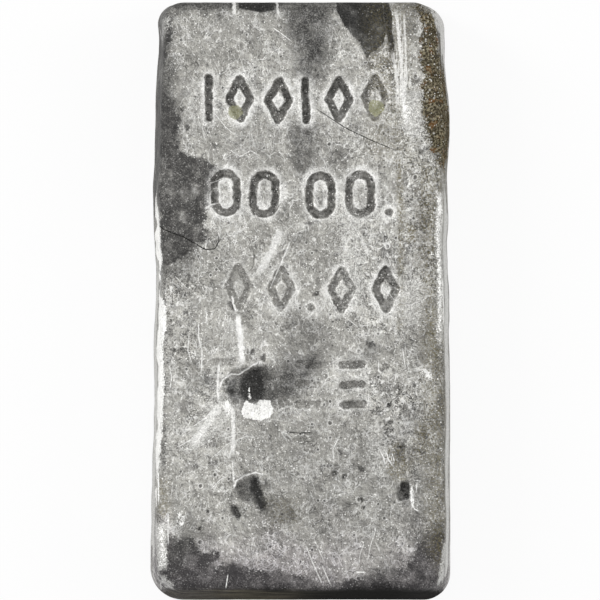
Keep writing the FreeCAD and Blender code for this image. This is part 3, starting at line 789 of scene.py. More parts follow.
def wall_reach(points, reach):
    """Fades a field out some way down the walls, unevenly along the bar."""
    run = points[:, 0] + points[:, 1]
    edge = reach * (1 + 0.25 * np.sin(0.9 * run) + 0.15 * np.sin(2.3 * run + 1.0))
    return smooth(TOP - points[:, 2], edge + 1.6, edge - 1.6)


def wax_field(points, facing_up):
    """Two round spots of wax, from 0 to 1."""
    field = np.zeros(len(points))
    for across, along, radius in WAX_SPOTS:
        reach, _ = ellipse_radius(points, (across, along), (radius, radius), 0.0, 0.06)
        field = np.maximum(field, np.clip(0.5 + (1 - reach) * 2.0, 0.0, 1.0))
    return field * facing_up


def score_fields(points):
    """How many half widths each point lies to one side of the nearest score, and its strength."""
    far_off = 9.0
    side = np.full(len(points), far_off)
    gain = np.zeros(len(points))
    nearest = np.full(len(points), 0.75)
    top = points[:, 2] > TOP - 2.5
    for half_width, brightness, path in SCORES:
        path = np.array(path, float)
        legs = np.linalg.norm(np.diff(path, axis=0), axis=1)
        whole = legs.sum()
        done = 0.0
        for start, end, leg in zip(path[:-1], path[1:], legs):
            heading = (end - start) / leg
            rel = points[:, :2] - start
            along = rel @ heading
            off = rel[:, 1] * heading[0] - rel[:, 0] * heading[1]
            away = np.hypot(off, np.clip(-along, 0, None) + np.clip(along - leg, 0, None))
            run = (done + np.clip(along, 0, leg)) / whole
            tapered = smooth(run, 0.0, 0.12) * smooth(run, 1.0, 0.8)
            closer = top & (away - half_width < nearest)
            nearest = np.where(closer, away - half_width, nearest)
            side = np.where(closer, off / half_width, side)
            gain = np.where(closer, brightness * tapered, gain)
            done += leg
    window = 1 - smooth(nearest, 0.3, 0.72)
    return np.clip(side, -far_off, far_off), gain * window


# ---------------------------------------------------------------- the struck marks


def bar_path(height):
    """One upright stroke."""
    return [[(0.0, -height / 2), (0.0, height / 2)]]


def lozenge_path(width, height):
    """A four-sided diamond."""
    x, y = width / 2, height / 2
    return [[(0.0, -y), (x, 0.0), (0.0, y), (-x, 0.0), (0.0, -y)]]


def ring_path(width, height):
    """A tall ring with round ends."""
    radius = width / 2
    straight = height / 2 - radius
    path = []
    for start, centre in ((0, straight), (180, -straight)):
        for degrees in range(start, start + 181, 15):
            angle = math.radians(degrees)
            path.append((radius * math.cos(angle), centre + radius * math.sin(angle)))
    return [path + [path[0]]]


def dot_path(height):
    """A round punch, low beside the marks."""
    return [[(0.0, -height / 2), (0.01, -height / 2)]]


def triple_path(width, gap):
    """Three level strokes, one over the other."""
    return [[(-width / 2, level), (width / 2, level)] for level in (-gap, 0.0, gap)]


def struck_rows():
    """Every mark: across, row, its paths and how deep it was struck."""
    marks = settings("struck_marks")
    stroke = marks.stroke_width / MM
    height = marks.mark_height / MM - stroke
    lozenge_width, ring_width, triple_width, triple_gap = 3.9, 4.0, 3.7, 2.65
    near_step, far_step, ring_step, pair_step, triple_step = 4.2, 9.2, 5.0, 5.6, 5.7
    lozenge = lozenge_path(lozenge_width - stroke, height)
    ring = ring_path(ring_width - stroke, height)
    triple = triple_path(triple_width - stroke, triple_gap)
    dot = dot_path(height)
    rows = []
    for group, depths in ((-12.2, (0.95, 0.9, 0.95)), (0.9, (1.15, 0.95, 0.6))):
        rows.append((group, 0, bar_path(height), depths[0]))
        rows.append((group + near_step, 0, lozenge, depths[1]))
        rows.append((group + far_step, 0, lozenge, depths[2]))
    for pair, depth in ((-9.9, 0.85), (2.9, 0.8)):
        rows.append((pair, 1, ring, depth))
        rows.append((pair + ring_step, 1, ring, depth))
    rows.append((12.1, 1, dot, 0.8))
    for pair, depths in ((-8.2, (0.45, 0.55)), (5.7, (0.75, 0.8))):
        rows.append((pair, 2, lozenge, depths[0]))
        rows.append((pair + pair_step, 2, lozenge, depths[1]))
    rows.append((1.7, 2, dot, 0.5))
    for number, depth in enumerate((0.35, 0.0, 0.3, 0.6)):
        rows.append((-10.2 + triple_step * number, 3, triple, depth))
    return rows


def mark_lines():
    """The centre lines of every mark as one mesh of edges, each point with its depth."""
    marks = settings("struck_marks")
    spacing = 0.35
    points, edges, depths = [], [], []
    level = TOP - settings("bar_shape").lip_room / MM
    for number, (across, row, paths, depth) in enumerate(struck_rows()):
        turn = math.radians(2.2 * math.sin(number * 2.4))
        shift = (0.16 * math.sin(number * 3.7), 0.2 * math.cos(number * 5.1))
        middle = (marks.first_row - row * marks.row_pitch) / MM
        for path in paths:
            for begin, end in zip(path[:-1], path[1:]):
                pieces = max(1, round(math.dist(begin, end) / spacing))
                first = len(points)
                for part in np.linspace(0, 1, pieces + 1):
                    px = begin[0] + (end[0] - begin[0]) * part
                    py = begin[1] + (end[1] - begin[1]) * part
                    x = across + shift[0] + px * math.cos(turn) - py * math.sin(turn)
                    y = middle + shift[1] + px * math.sin(turn) + py * math.cos(turn)
                    points.append((x * MM, y * MM, level * MM))
                    depths.append(depth)
                edges += [(first + place, first + place + 1) for place in range(pieces)]
    mesh = bpy.data.meshes.new("mark_lines")
    mesh.from_pydata(points, edges, [])
    mesh.attributes.new("depth", "FLOAT", "POINT").data.foreach_set("value", depths)
    lines = bpy.data.objects.new("mark_lines", mesh)
    bpy.context.scene.collection.objects.link(lines)
    return lines


def carried(tree, name):
    """A field that the geometry carries."""
    node = add_node(
        tree, "GeometryNodeInputNamedAttribute", {"Name": name}, data_type="FLOAT")
    return node.outputs["Attribute"]


def end_tree(tree, geometry, given, result):
    """Ends a tree with real geometry that has its material."""
    geometry = add_node(tree, "GeometryNodeRealizeInstances", {0: geometry}).outputs[0]
    geometry = add_node(tree, "GeometryNodeSetMaterial", {
        "Geometry": geometry, "Material": given["Material"]}).outputs[0]
    tree.links.new(geometry, result["Geometry"])
    return tree


def marks_tree():
    """Geometry Nodes that press strokes along lines and raise the metal beside them."""
    tree, given, result = new_tree("Geometry", "Struck Marks", {
        "Geometry": "Geometry", "Lines": "Object", "Material": "Material",
        "Stroke Width": 0.001, "Depth": 0.0005, "Lip Height": 0.0001, "Wander": 0.0001,
        "Wander Scale": 900.0}, "Geometry")
    lines = add_node(
        tree, "GeometryNodeObjectInfo", {"Object": given["Lines"]}).outputs["Geometry"]
    place = add_node(tree, "GeometryNodeInputPosition").outputs[0]
    moved = wandered(tree, place, given["Wander Scale"], given["Wander"])
    near = add_node(tree, "GeometryNodeProximity", {
        0: lines, "Sample Position": moved}, target_element="EDGES").outputs["Distance"]
    index = add_node(tree, "GeometryNodeSampleNearest", {
        "Geometry": lines, "Sample Position": moved}, domain="POINT").outputs["Index"]
    struck = add_node(tree, "GeometryNodeSampleIndex", {
        "Geometry": lines, "Value": carried(tree, "depth"), "Index": index},
        data_type="FLOAT", domain="POINT").outputs[0]
    share = calc(tree, "DIVIDE", near, times(tree, given["Stroke Width"], 0.5))
    floor = fade(tree, share, 0.5, 1.05)
    lip = times(tree, step(tree, share, 0.95, 1.2), fade(tree, share, 1.25, 1.9))
    lip = times(tree, lip, given["Lip Height"])
    height = times(tree, calc(tree, "SUBTRACT", lip, times(tree, floor, given["Depth"])), struck)
    geometry = given["Geometry"]
    share = calc(tree, "MINIMUM", share, 8.0)
    for name, value in (("mark_share", share), ("mark_depth", struck)):
        geometry = add_node(tree, "GeometryNodeStoreNamedAttribute", {
            "Geometry": geometry, "Name": name, "Value": value},
            data_type="FLOAT", domain="POINT").outputs[0]
    shift = add_node(tree, "ShaderNodeCombineXYZ", {"Z": height}).outputs[0]
    geometry = add_node(tree, "GeometryNodeSetPosition", {
        "Geometry": geometry, "Offset": shift}).outputs[0]
    return end_tree(tree, geometry, given, result)


def skin_tree():
    """Geometry Nodes that raise the uneven cast skin, rougher under the crust."""
    tree, given, result = new_tree("Geometry", "Cast Skin", {
        "Geometry": "Geometry", "Material": "Material", "Relief": 0.00005, "Broad Scale": 160.0,
        "Fine Scale": 1500.0, "Crust Relief": 0.0001}, "Geometry")
    place = add_node(tree, "GeometryNodeInputPosition").outputs[0]
    facing = add_node(tree, "GeometryNodeInputNormal").outputs[0]
    broad = swing(tree, cloud(tree, place, given["Broad Scale"], 3.0), 2.4)
    fine = cloud(tree, place, given["Fine Scale"], 2.0)
    relief = times(
        tree, calc(tree, "ADD", broad, calc(tree, "SUBTRACT", fine, 0.5)), given["Relief"])
    grains = times(tree, carried(tree, "crust"), fine, given["Crust Relief"])
    offset = vector_calc(tree, "SCALE", facing, calc(tree, "ADD", relief, grains))
    geometry = add_node(tree, "GeometryNodeSetPosition", {
        "Geometry": given["Geometry"], "Offset": offset}).outputs[0]
    return end_tree(tree, geometry, given, result)


def crust_tree():
    """Geometry Nodes that scatter small uneven grains where the crust is thick."""
    tree, given, result = new_tree("Geometry", "Crust Grains", {
        "Geometry": "Geometry", "Material": "Material", "Density": 1.0e6, "Grain Size": 0.0002,
        "Seed": 4}, "Geometry")
    place = add_node(tree, "GeometryNodeInputPosition").outputs[0]
    clump = step(tree, cloud(tree, place, 800.0, 3.0), 0.44, 0.62, 0.1, 0.7)
    thick = times(tree, step(tree, carried(tree, "crust"), 0.35, 0.8), clump)
    spots = add_node(tree, "GeometryNodeDistributePointsOnFaces", {
        "Mesh": given["Geometry"], "Density": times(tree, thick, given["Density"]),
        "Seed": given["Seed"]}).outputs["Points"]
    grain = add_node(tree, "GeometryNodeMeshIcoSphere", {
        "Radius": 0.5, "Subdivisions": 1}).outputs["Mesh"]
    size = add_node(tree, "FunctionNodeRandomValue", {
        2: 0.35, 3: 1.5, "Seed": given["Seed"]}, data_type="FLOAT").outputs[1]
    turn = add_node(tree, "FunctionNodeRandomValue", {
        0: (0.0, 0.0, 0.0), 1: (6.28, 6.28, 6.28), "Seed": given["Seed"]},
        data_type="FLOAT_VECTOR").outputs[0]
    width = times(tree, size, given["Grain Size"])
    scale = add_node(tree, "ShaderNodeCombineXYZ", {
        "X": width, "Y": times(tree, width, 1.3), "Z": times(tree, width, 0.7)}).outputs[0]
    grains = add_node(tree, "GeometryNodeInstanceOnPoints", {
        "Points": spots, "Instance": grain, "Rotation": turn, "Scale": scale}).outputs[0]
    return end_tree(tree, grains, given, result)


def run_trees(obj, steps, name):
    """Runs node trees over an object with their inputs set, and returns the plain mesh."""
    for tree, values in steps:
        modifier = obj.modifiers.new(tree.name, "NODES")
        modifier.node_group = tree
        for item in tree.interface.items_tree:
            if item.item_type == "SOCKET" and item.in_out == "INPUT" and item.name in values:
                modifier[item.identifier] = values[item.name]
    graph = bpy.context.evaluated_depsgraph_get()
    mesh = bpy.data.meshes.new_from_object(
        obj.evaluated_get(graph), preserve_all_data_layers=True, depsgraph=graph)
    mesh.name = name
    obj.modifiers.clear()
    return mesh


def keep_in_box(mesh):
    """Holds every point inside the solid's own box."""
    points = np.zeros(len(mesh.vertices) * 3, np.float32)
    mesh.vertices.foreach_get("co", points)
    points = np.clip(points.reshape(-1, 3), np.array(LOW, np.float32), np.array(HIGH, np.float32))
    mesh.vertices.foreach_set("co", points.ravel())
    mesh.update()


# ---------------------------------------------------------------- shader groups and layers


def mottle_group():
    """Clouded unevenness, from 0 to 1."""
    tree, given, result = new_tree("Shader", "Mottle", {
        "Vector": "Vector", "Scale": 500.0, "Detail": 3.0, "Contrast": 2.0}, "Value")
    noise_value = cloud(tree, given["Vector"], given["Scale"], given["Detail"], 0.6)
    spread = swing(tree, noise_value, given["Contrast"])
    tree.links.new(calc(tree, "ADD", spread, 0.5, clamp=True), result["Value"])
    return tree


def ragged_group():
    """A soft field turned into a mask whose edge breaks up into grain."""
    tree, given, result = new_tree("Shader", "Ragged Edge", {
        "Vector": "Vector", "Field": 0.0, "Scale": 1500.0, "Raggedness": 0.5, "Grain": 0.5,
        "Softness": 0.1}, "Mask")
    broken = cloud(tree, given["Vector"], given["Scale"], 4.0, 0.65)
    field = calc(tree, "ADD", given["Field"], swing(tree, broken, given["Raggedness"]))
    grain = cloud(tree, given["Vector"], 5200.0, 1.0)
    field = calc(tree, "ADD", field, swing(tree, grain, given["Grain"]))
    low = calc(tree, "SUBTRACT", 0.5, given["Softness"])
    high = calc(tree, "ADD", 0.5, given["Softness"])
    present = step(tree, given["Field"], 0.0, 0.08)
    tree.links.new(times(tree, step(tree, field, low, high), present), result["Mask"])
    return tree


def plates_group():
    """Uneven plates that a cast skin breaks into: a shade for each, and thin seams between."""
    tree, given, result = new_tree("Shader", "Plates", {
        "Vector": "Vector", "Scale": 300.0, "Warp": 0.002, "Seam Width": 0.03,
        "Seam Level": 0.5}, "Value", "Seam")
    warped = wandered(tree, given["Vector"], given["Scale"], given["Warp"])
    cells = {"Vector": warped, "Scale": given["Scale"]}
    colour = add_node(tree, "ShaderNodeTexVoronoi", cells).outputs["Color"]
    tree.links.new(
        add_node(tree, "ShaderNodeSeparateColor", {0: colour}).outputs[0], result["Value"])
    edge = add_node(
        tree, "ShaderNodeTexVoronoi", cells, feature="DISTANCE_TO_EDGE").outputs["Distance"]
    line = fade(tree, edge, 0.0, given["Seam Width"])
    patch = cloud(tree, given["Vector"], 420.0, 3.0)
    level = given["Seam Level"]
    shown = step(tree, patch, level, calc(tree, "ADD", level, 0.1))
    tree.links.new(times(tree, line, shown), result["Seam"])
    return tree


def scratch_group():
    """Fine scratches that all run one way, in patches."""
    tree, given, result = new_tree("Shader", "Scratches", {
        "Vector": "Vector", "Turn": 0.0, "Across": 2500.0, "Along": 120.0, "Thinness": 0.03,
        "Patch Scale": 150.0, "Patch Level": 0.5}, "Mask")
    turned = add_node(tree, "ShaderNodeVectorRotate", {
        "Vector": given["Vector"], "Angle": given["Turn"]}, rotation_type="Z_AXIS").outputs[0]
    spacing = add_node(tree, "ShaderNodeCombineXYZ", {
        "X": given["Across"], "Y": given["Along"], "Z": given["Along"]}).outputs[0]
    streaks = cloud(tree, vector_calc(tree, "MULTIPLY", turned, spacing), 1.0, 1.5)
    off = calc(tree, "ABSOLUTE", calc(tree, "SUBTRACT", streaks, 0.5))
    line = fade(tree, off, 0.0, given["Thinness"])
    patch = cloud(tree, turned, given["Patch Scale"], 2.0)
    level = given["Patch Level"]
    shown = step(tree, patch, level, calc(tree, "ADD", level, 0.08))
    tree.links.new(times(tree, line, shown), result["Mask"])
    return tree


def specks_group():
    """A share of the cells of a pattern, each shown as a small dot with a thin rim round it."""
    tree, given, result = new_tree("Shader", "Specks", {
        "Vector": "Vector", "Scale": 3000.0, "Share": 0.1, "Size": 0.4}, "Mask", "Rim")
    uneven = cloud(tree, given["Vector"], times(tree, given["Scale"], 1.7), 1.0)
    uneven = calc(tree, "MULTIPLY_ADD", uneven, 0.9, 0.55)
    cells = add_node(
        tree, "ShaderNodeTexVoronoi", {"Vector": given["Vector"], "Scale": given["Scale"]}).outputs
    tint = add_node(tree, "ShaderNodeSeparateColor", {0: cells["Color"]}).outputs[0]
    chosen = calc(tree, "LESS_THAN", tint, given["Share"])
    reach = calc(tree, "DIVIDE", times(tree, cells["Distance"], uneven), given["Size"])
    tree.links.new(times(tree, chosen, fade(tree, reach, 0.5, 1.0)), result["Mask"])
    ring = times(tree, step(tree, reach, 0.85, 1.05), fade(tree, reach, 1.1, 1.5))
    tree.links.new(times(tree, chosen, ring), result["Rim"])
    return tree


SHADER_GROUPS = {
    "Mottle": mottle_group,
    "Ragged Edge": ragged_group,
    "Plates": plates_group,
    "Scratches": scratch_group,
    "Specks": specks_group,
}


def shader_group(tree, name, **inputs):
    """The outputs of one of the shared groups, placed in a material with its own values."""
    group = bpy.data.node_groups.get(name) or SHADER_GROUPS[name]()
    named = {key.replace("_", " ").title(): value for key, value in inputs.items()}
    return add_node(tree, "ShaderNodeGroup", named, node_tree=group).outputs


def mix_colour(tree, factor, first, second, blend="MIX"):
    """Two colours mixed."""
    first, second = (
        (*colour, 1.0) if isinstance(colour, Color) else colour for colour in (first, second))
    return add_node(tree, "ShaderNodeMix", {0: factor, 6: first, 7: second},
                    data_type="RGBA", blend_type=blend).outputs[2]


def mix_value(tree, factor, first, second):
    """Two numbers mixed."""
    return add_node(
        tree, "ShaderNodeMix", {0: factor, 2: first, 3: second}, data_type="FLOAT").outputs[0]


def stored(tree, name):
    """A field that the mesh carries."""
    return add_node(tree, "ShaderNodeAttribute", attribute_name=name).outputs["Fac"]


def new_material(name):
    """An empty node material."""
    material = bpy.data.materials.new(name)
    material.use_nodes = True
    material.node_tree.nodes.clear()
    return material, material.node_tree


class Coat:
    """The layers of a finish, each laid over the last by its mask."""

    def __init__(self, name):
        self.material, self.tree = new_material(name)
        self.finish = settings("finish")
        self.where = add_node(self.tree, "ShaderNodeTexCoord").outputs["Object"]
        self.height = 0.0

    def start(self, colour, metallic, roughness, tone):
        """The ground under the layers. Its tone is the grain that later layers follow."""
        self.colour, self.metallic, self.roughness, self.tone = colour, metallic, roughness, tone

    def lay(self, mask, colour, metallic, roughness):
        """One more layer, with its own colour, metal and gloss."""
        self.colour = mix_colour(self.tree, mask, self.colour, colour)
        self.metallic = mix_value(self.tree, mask, self.metallic, metallic)
        self.roughness = mix_value(self.tree, mask, self.roughness, roughness)

    def lay_clouded(self, mask, dark, light, metallic, roughness):
        """A layer whose colour follows the grain of the skin from dark to light."""
        spread = step(self.tree, self.tone, 0.1, 1.0)
        self.lay(mask, mix_colour(self.tree, spread, dark, light), metallic, roughness)

    def burnish(self, mask, roughness=0.35):
        """A layer of bright metal: rubbed metal in some places, painted highlights in others."""
        self.lay(mask, self.finish.burnished, 0.3, roughness)

    def raise_by(self, mask, amount):
        """Adds to the height that the bump is made from."""
        self.height = calc(self.tree, "MULTIPLY_ADD", mask, amount, self.height)

    def mottle(self, scale, detail, contrast, where=None):
        """Clouded unevenness."""
        return shader_group(self.tree, "Mottle", vector=where or self.where, scale=scale,
                            detail=detail, contrast=contrast)[0]

    def plates(self, scale, warp, seam_width, seam_level):
        """The shade of each plate, and the seams between plates."""
        return shader_group(self.tree, "Plates", vector=self.where, scale=scale, warp=warp,
                            seam_width=seam_width, seam_level=seam_level)

    def scratches(self, turn, across, along, thinness, patch_scale, patch_level):
        """Fine scratches that run one way."""
        return shader_group(
            self.tree, "Scratches", vector=self.where, turn=turn, across=across, along=along,
            thinness=thinness, patch_scale=patch_scale, patch_level=patch_level)[0]

    def specks(self, scale, share, size):
        """Small dots, and the rims round them."""
        return shader_group(
            self.tree, "Specks", vector=self.where, scale=scale, share=share, size=size)

    def ragged(self, name, scale, raggedness, grain, softness, strength=1.0):
        """The mask of one stored stain, its edge broken up."""
        edge = shader_group(
            self.tree, "Ragged Edge", vector=self.where, field=stored(self.tree, name),
            scale=scale, raggedness=raggedness, grain=grain, softness=softness)[0]
        return times(self.tree, edge, strength)

    def crust_colour(self, grains, least, most):
        """Brown crust with rusty spots and pale grains, paler in some patches than in others."""
        tree, finish = self.tree, self.finish
        rusty = step(tree, self.mottle(900.0, 2.0, 3.0), 0.7, 1.0)
        deep = mix_colour(tree, rusty, finish.crust_dark, finish.crust_rust)
        patches = step(tree, self.mottle(420.0, 3.0, 2.6), 0.15, 0.85, least, most)
        return mix_colour(tree, times(tree, grains, patches), deep, finish.crust_light)

    def finished(self, bump_distance, bump_strength):
        """The material, with the layers on a Principled surface."""
        bump = add_node(self.tree, "ShaderNodeBump", {
            "Strength": bump_strength, "Distance": bump_distance,
            "Height": self.height}).outputs[0]
        surface = add_node(self.tree, "ShaderNodeBsdfPrincipled", {
            "Base Color": self.colour, "Metallic": self.metallic, "Roughness": self.roughness,
            "Specular IOR Level": 0.0, "Normal": bump}).outputs[0]
        add_node(self.tree, "ShaderNodeOutputMaterial", {"Surface": surface})
        return self.material


# ---------------------------------------------------------------- the metal


def scuffed_skin(coat):
    """Clouded grey metal, broken into plates, with a salt and pepper grain and painted emboss
    shade.
    """
    tree, finish = coat.tree, coat.finish
    broad = coat.mottle(150.0, 3.0, 2.4)
    middle = coat.mottle(620.0, 5.0, 2.8)
    fine = coat.mottle(2300.0, 4.0, 4.0)
    grain = coat.mottle(5600.0, 2.0, 6.0)
    plate = coat.plates(330.0, 0.0034, 0.03, 0.48)
    flake = coat.plates(900.0, 0.0016, 0.06, 0.5)
    crackle = coat.plates(190.0, 0.006, 0.012, 0.5)
    coarse = times(tree, middle, 0.4)
    for part, share in ((broad, 0.32), (plate["Value"], 0.2), (flake["Value"], 0.14)):
        coarse = calc(tree, "MULTIPLY_ADD", part, share, coarse)
    small = calc(tree, "MULTIPLY_ADD", fine, 0.34, times(tree, grain, 0.66))
    small_share = calc(tree, "MULTIPLY_ADD", middle, 0.3, 0.12)
    small_share = calc(tree, "MULTIPLY_ADD", stored(tree, "pepper"), 0.72, small_share)
    tone = swing(tree, small, small_share)
    # Painted light and shade: noise less shifted noise embosses relief, as if lit from one side.
    for scale, contrast, shift, share in (
            (620.0, 2.8, (0.00013, 0.0001, 0.0), 0.42),
            (2000.0, 3.2, (0.00007, 0.00006, 0.0), 0.26)):
        aside = vector_calc(tree, "ADD", coat.where, shift)
        here, there = (coat.mottle(scale, 5.0, contrast, place) for place in (coat.where, aside))
        tone = calc(tree, "MULTIPLY_ADD", calc(tree, "SUBTRACT", here, there), share, tone)
    tone = calc(tree, "ADD", tone, swing(tree, coarse, 0.5))
    tone = calc(tree, "ADD", tone, 0.47, clamp=True)
    coat.start(mix_colour(tree, tone, finish.dull_metal, finish.pale_metal), 0.75, 0.4, small)
    for part, amount in ((grain, 0.06), (fine, 0.3), (middle, 0.8), (plate["Value"], 0.25),
                         (flake["Value"], 0.15)):
        coat.raise_by(part, amount)
    for part, strength in ((plate, 0.65), (flake, 0.5), (crackle, 0.7)):
        coat.burnish(times(tree, part["Seam"], strength))
        coat.raise_by(part["Seam"], 0.3)


def lay_blotches(coat):
    """Small dark and pale blotches with broken edges, and shallow pits with pale rims."""
    tree, finish = coat.tree, coat.finish
    pepper = stored(tree, "pepper")
    for scale, low, high, strength, colour in (
            (300.0, 0.66, 0.84, 0.5, finish.patina_light),
            (780.0, 0.72, 0.9, 0.6, finish.patina),
            (410.0, 0.68, 0.86, 0.38, finish.pale_metal),
            (1250.0, 0.76, 0.92, 0.6, finish.burnished)):
        low, high = (calc(tree, "MULTIPLY_ADD", pepper, -0.17, level) for level in (low, high))
        mask = step(tree, coat.mottle(scale, 6.0, 2.2), low, high, 0.0, strength)
        coat.lay(mask, colour, 0.6, 0.45)
    for scale, share, size in ((520.0, 0.1, 0.16), (1250.0, 0.09, 0.26)):
        pits = coat.specks(scale, share, size)
        coat.burnish(times(tree, pits["Rim"], 0.5))
        coat.lay(times(tree, pits["Mask"], 0.7), finish.patina, 0.4, 0.5)
        coat.raise_by(pits["Mask"], -0.8)


def lay_scratches(coat):
    """Fine scratches in several directions and a net of pale and dark hair cracks."""
    for turn, across, along, thinness, level, strength in (
            (-0.42, 2600.0, 190.0, 0.022, 0.52, 0.5),
            (0.06, 2900.0, 170.0, 0.022, 0.5, 0.45),
            (1.0, 2700.0, 230.0, 0.02, 0.56, 0.36),
            (0.3, 520.0, 430.0, 0.014, 0.48, 0.6),
            (2.0, 900.0, 700.0, 0.02, 0.5, 0.55),
            (0.2, 1500.0, 700.0, 0.03, 0.5, 0.5)):
        lines = coat.scratches(turn, across, along, thinness, 400.0, level)
        coat.burnish(times(coat.tree, lines, strength), 0.3)
        coat.raise_by(lines, 0.3)
    for turn, across, along in ((0.7, 640.0, 520.0), (2.4, 1300.0, 900.0)):
        cracks = coat.scratches(turn, across, along, 0.014, 330.0, 0.53)
        coat.lay(times(coat.tree, cracks, 0.6), coat.finish.mark_floor, 0.4, 0.6)
        coat.raise_by(cracks, -0.4)


def lay_wall_grime(coat):
    """Dull streaks on the walls and a dull poured face underneath."""
    tree, finish = coat.tree, coat.finish
    squeezed = vector_calc(tree, "MULTIPLY", coat.where, (1.0, 1.0, 7.0))
    streaks = coat.mottle(240.0, 4.0, 2.6, squeezed)
    dull = times(tree, stored(tree, "wall"), step(tree, streaks, 0.2, 0.8, 0.15, 0.75))
    coat.lay_clouded(dull, finish.patina, finish.bare_dark, 0.15, 0.85)
    under = times(tree, stored(tree, "under"), step(tree, streaks, 0.2, 0.9, 0.2, 0.6))
    coat.lay_clouded(under, finish.dull_metal, finish.bare_dark, 0.5, 0.55)


def lay_stains(coat):
    """Haze, patina and black flow marks, each with its own edge, and painted shade in the gouges.
    """
    tree, finish = coat.tree, coat.finish
    patches = coat.mottle(480.0, 4.0, 2.4)
    haze_and_hollow_shade = times(tree, stored(tree, "haze_and_hollow_shade"), step(tree, patches, 0.1, 0.8, 0.6, 1.0),
                 step(tree, coat.tone, 0.3, 0.9, 1.0, 0.7))
    coat.lay(haze_and_hollow_shade, finish.patina, 0.5, 0.5)
    patina = times(
        tree, coat.ragged("patina", 700.0, 1.9, 1.1, 0.26),
        step(tree, coat.tone, 0.8, 1.0, 1.0, 0.6), step(tree, patches, 0.5, 1.0, 0.97, 0.6))
    blend = step(tree, mix_value(tree, 0.4, patches, coat.tone), 0.3, 0.85)
    coat.lay(patina, mix_colour(tree, blend, finish.patina, finish.patina_light), 0.45, 0.5)
    black = times(tree, coat.ragged("flow_black", 1000.0, 0.55, 0.4, 0.2),
                  step(tree, patches, 0.35, 1.0, 0.98, 0.75))
    coat.lay_clouded(black, finish.flow_black, finish.patina, 0.15, 0.5)


def cast_cool(coat):
    """A faint violet cast over the near end."""
    tree = coat.tree
    along = add_node(tree, "ShaderNodeSeparateXYZ", {0: coat.where}).outputs[1]
    place = calc(tree, "MULTIPLY_ADD", coat.mottle(150.0, 3.0, 2.4), 0.008, along)
    near = fade(tree, place, -0.036, -0.024)
    coat.colour = mix_colour(tree, near, coat.colour, coat.finish.cool_cast, "MULTIPLY")


def lay_marks(coat):
    """Rough mark floors, dirt and painted shade; pushed-up lips, burnish and painted highlights.
    """
    tree, finish = coat.tree, coat.finish
    struck = stored(tree, "mark_depth")
    rough = coat.mottle(1300.0, 4.0, 2.8)
    patch = coat.mottle(420.0, 2.0, 3.0)
    place = calc(tree, "ADD", stored(tree, "mark_share"), swing(tree, rough, 0.6))
    deep = step(tree, struck, 0.1, 1.0, 0.0, 0.95)
    # Painted highlights, partly burnish, on the raised lips.
    swell = times(
        tree, step(tree, place, 0.9, 1.3), fade(tree, place, 1.4, 3.0), deep,
        step(tree, patch, 0.1, 0.9, 0.25, 1.0), step(tree, coat.tone, 0.2, 0.8, 0.4, 1.0))
    coat.burnish(swell, 0.38)
    # A thin painted highlight, partly burnish, along the rim.
    rim = times(tree, step(tree, place, 1.0, 1.15), fade(tree, place, 1.2, 1.6), deep, patch)
    coat.burnish(rim)
    # Painted shade, partly dirt, on the floors, darker where struck deeper.
    floor = times(
        tree, fade(tree, place, 0.55, 1.15), step(tree, struck, 0.0, 0.95),
        step(tree, rough, 0.3, 1.0, 0.96, 0.6), step(tree, patch, 0.3, 1.0, 1.0, 0.72))
    coat.lay_clouded(floor, finish.mark_floor, finish.patina_light, 0.5, 0.55)


def lay_hollows(coat):
    """Painted shade on the floors of gouges and pits."""
    hollow = coat.ragged("hollow_shade", 1400.0, 0.8, 0.5, 0.35, 0.8)
    coat.lay_clouded(hollow, coat.finish.flow_black, coat.finish.patina_light, 0.3, 0.5)


def lay_deposits(coat):
    """Olive bloom, brown crust and wax."""
    tree, finish = coat.tree, coat.finish
    grain = coat.mottle(3400.0, 4.0, 3.6)
    bloom = times(tree, stored(tree, "olive"), step(tree, grain, 0.25, 0.9, 0.05, 1.0))
    coat.lay(bloom, finish.olive, 0.3, 0.6)
    crust = coat.ragged("crust", 800.0, 1.6, 1.4, 0.12, 0.95)
    coat.lay(crust, coat.crust_colour(step(tree, grain, 0.28, 0.9), 0.3, 0.9), 0.1, 0.75)
    flecks = times(tree, coat.specks(1900.0, 0.2, 0.36)["Mask"], 0.8, crust)
    coat.lay(flecks, finish.pale_metal, 0.3, 0.5)
    coat.raise_by(times(tree, crust, grain), 1.4)
    wax = coat.ragged("wax", 1500.0, 0.6, 0.5, 0.14, 0.8)
    coat.lay_clouded(wax, finish.wax_dark, finish.wax, 0.0, 0.5)


def lay_bare_metal(coat):
    """Rubbed edges, and painted highlights on the shoulders and on the ramps of the gouges."""
    tree, finish = coat.tree, coat.finish
    bare = coat.ragged("bare", 1200.0, 0.9, 0.8, 0.22, 0.8)
    coat.lay_clouded(bare, finish.bare_dark, finish.bare_metal, 0.95, 0.36)
    # Painted highlights, broken up by streaks.
    painted_highlight = coat.ragged("painted_highlight", 1300.0, 1.2, 1.0, 0.12)
    streaks = coat.scratches(0.05, 1900.0, 260.0, 0.05, 300.0, 0.3)
    streaks = calc(tree, "MULTIPLY_ADD", streaks, -0.25, 1.0)
    coat.burnish(times(tree, painted_highlight, streaks, step(tree, coat.tone, 0.0, 0.3, 0.35, 1.0)), 0.32)


def lay_end_grime(coat):
    """Painted shade on the near wall, in black and brown layers."""
    tree, finish = coat.tree, coat.finish
    squeezed = vector_calc(tree, "MULTIPLY", coat.where, (1.0, 1.0, 12.0))
    layers = step(tree, coat.mottle(150.0, 5.0, 2.8, squeezed), 0.1, 0.95)
    brown = times(tree, stored(tree, "end_brown"), layers)
    shade = mix_colour(tree, brown, finish.flow_black, finish.end_brown)
    coat.lay(stored(tree, "near_wall_shade"), shade, 0.0, 0.9)


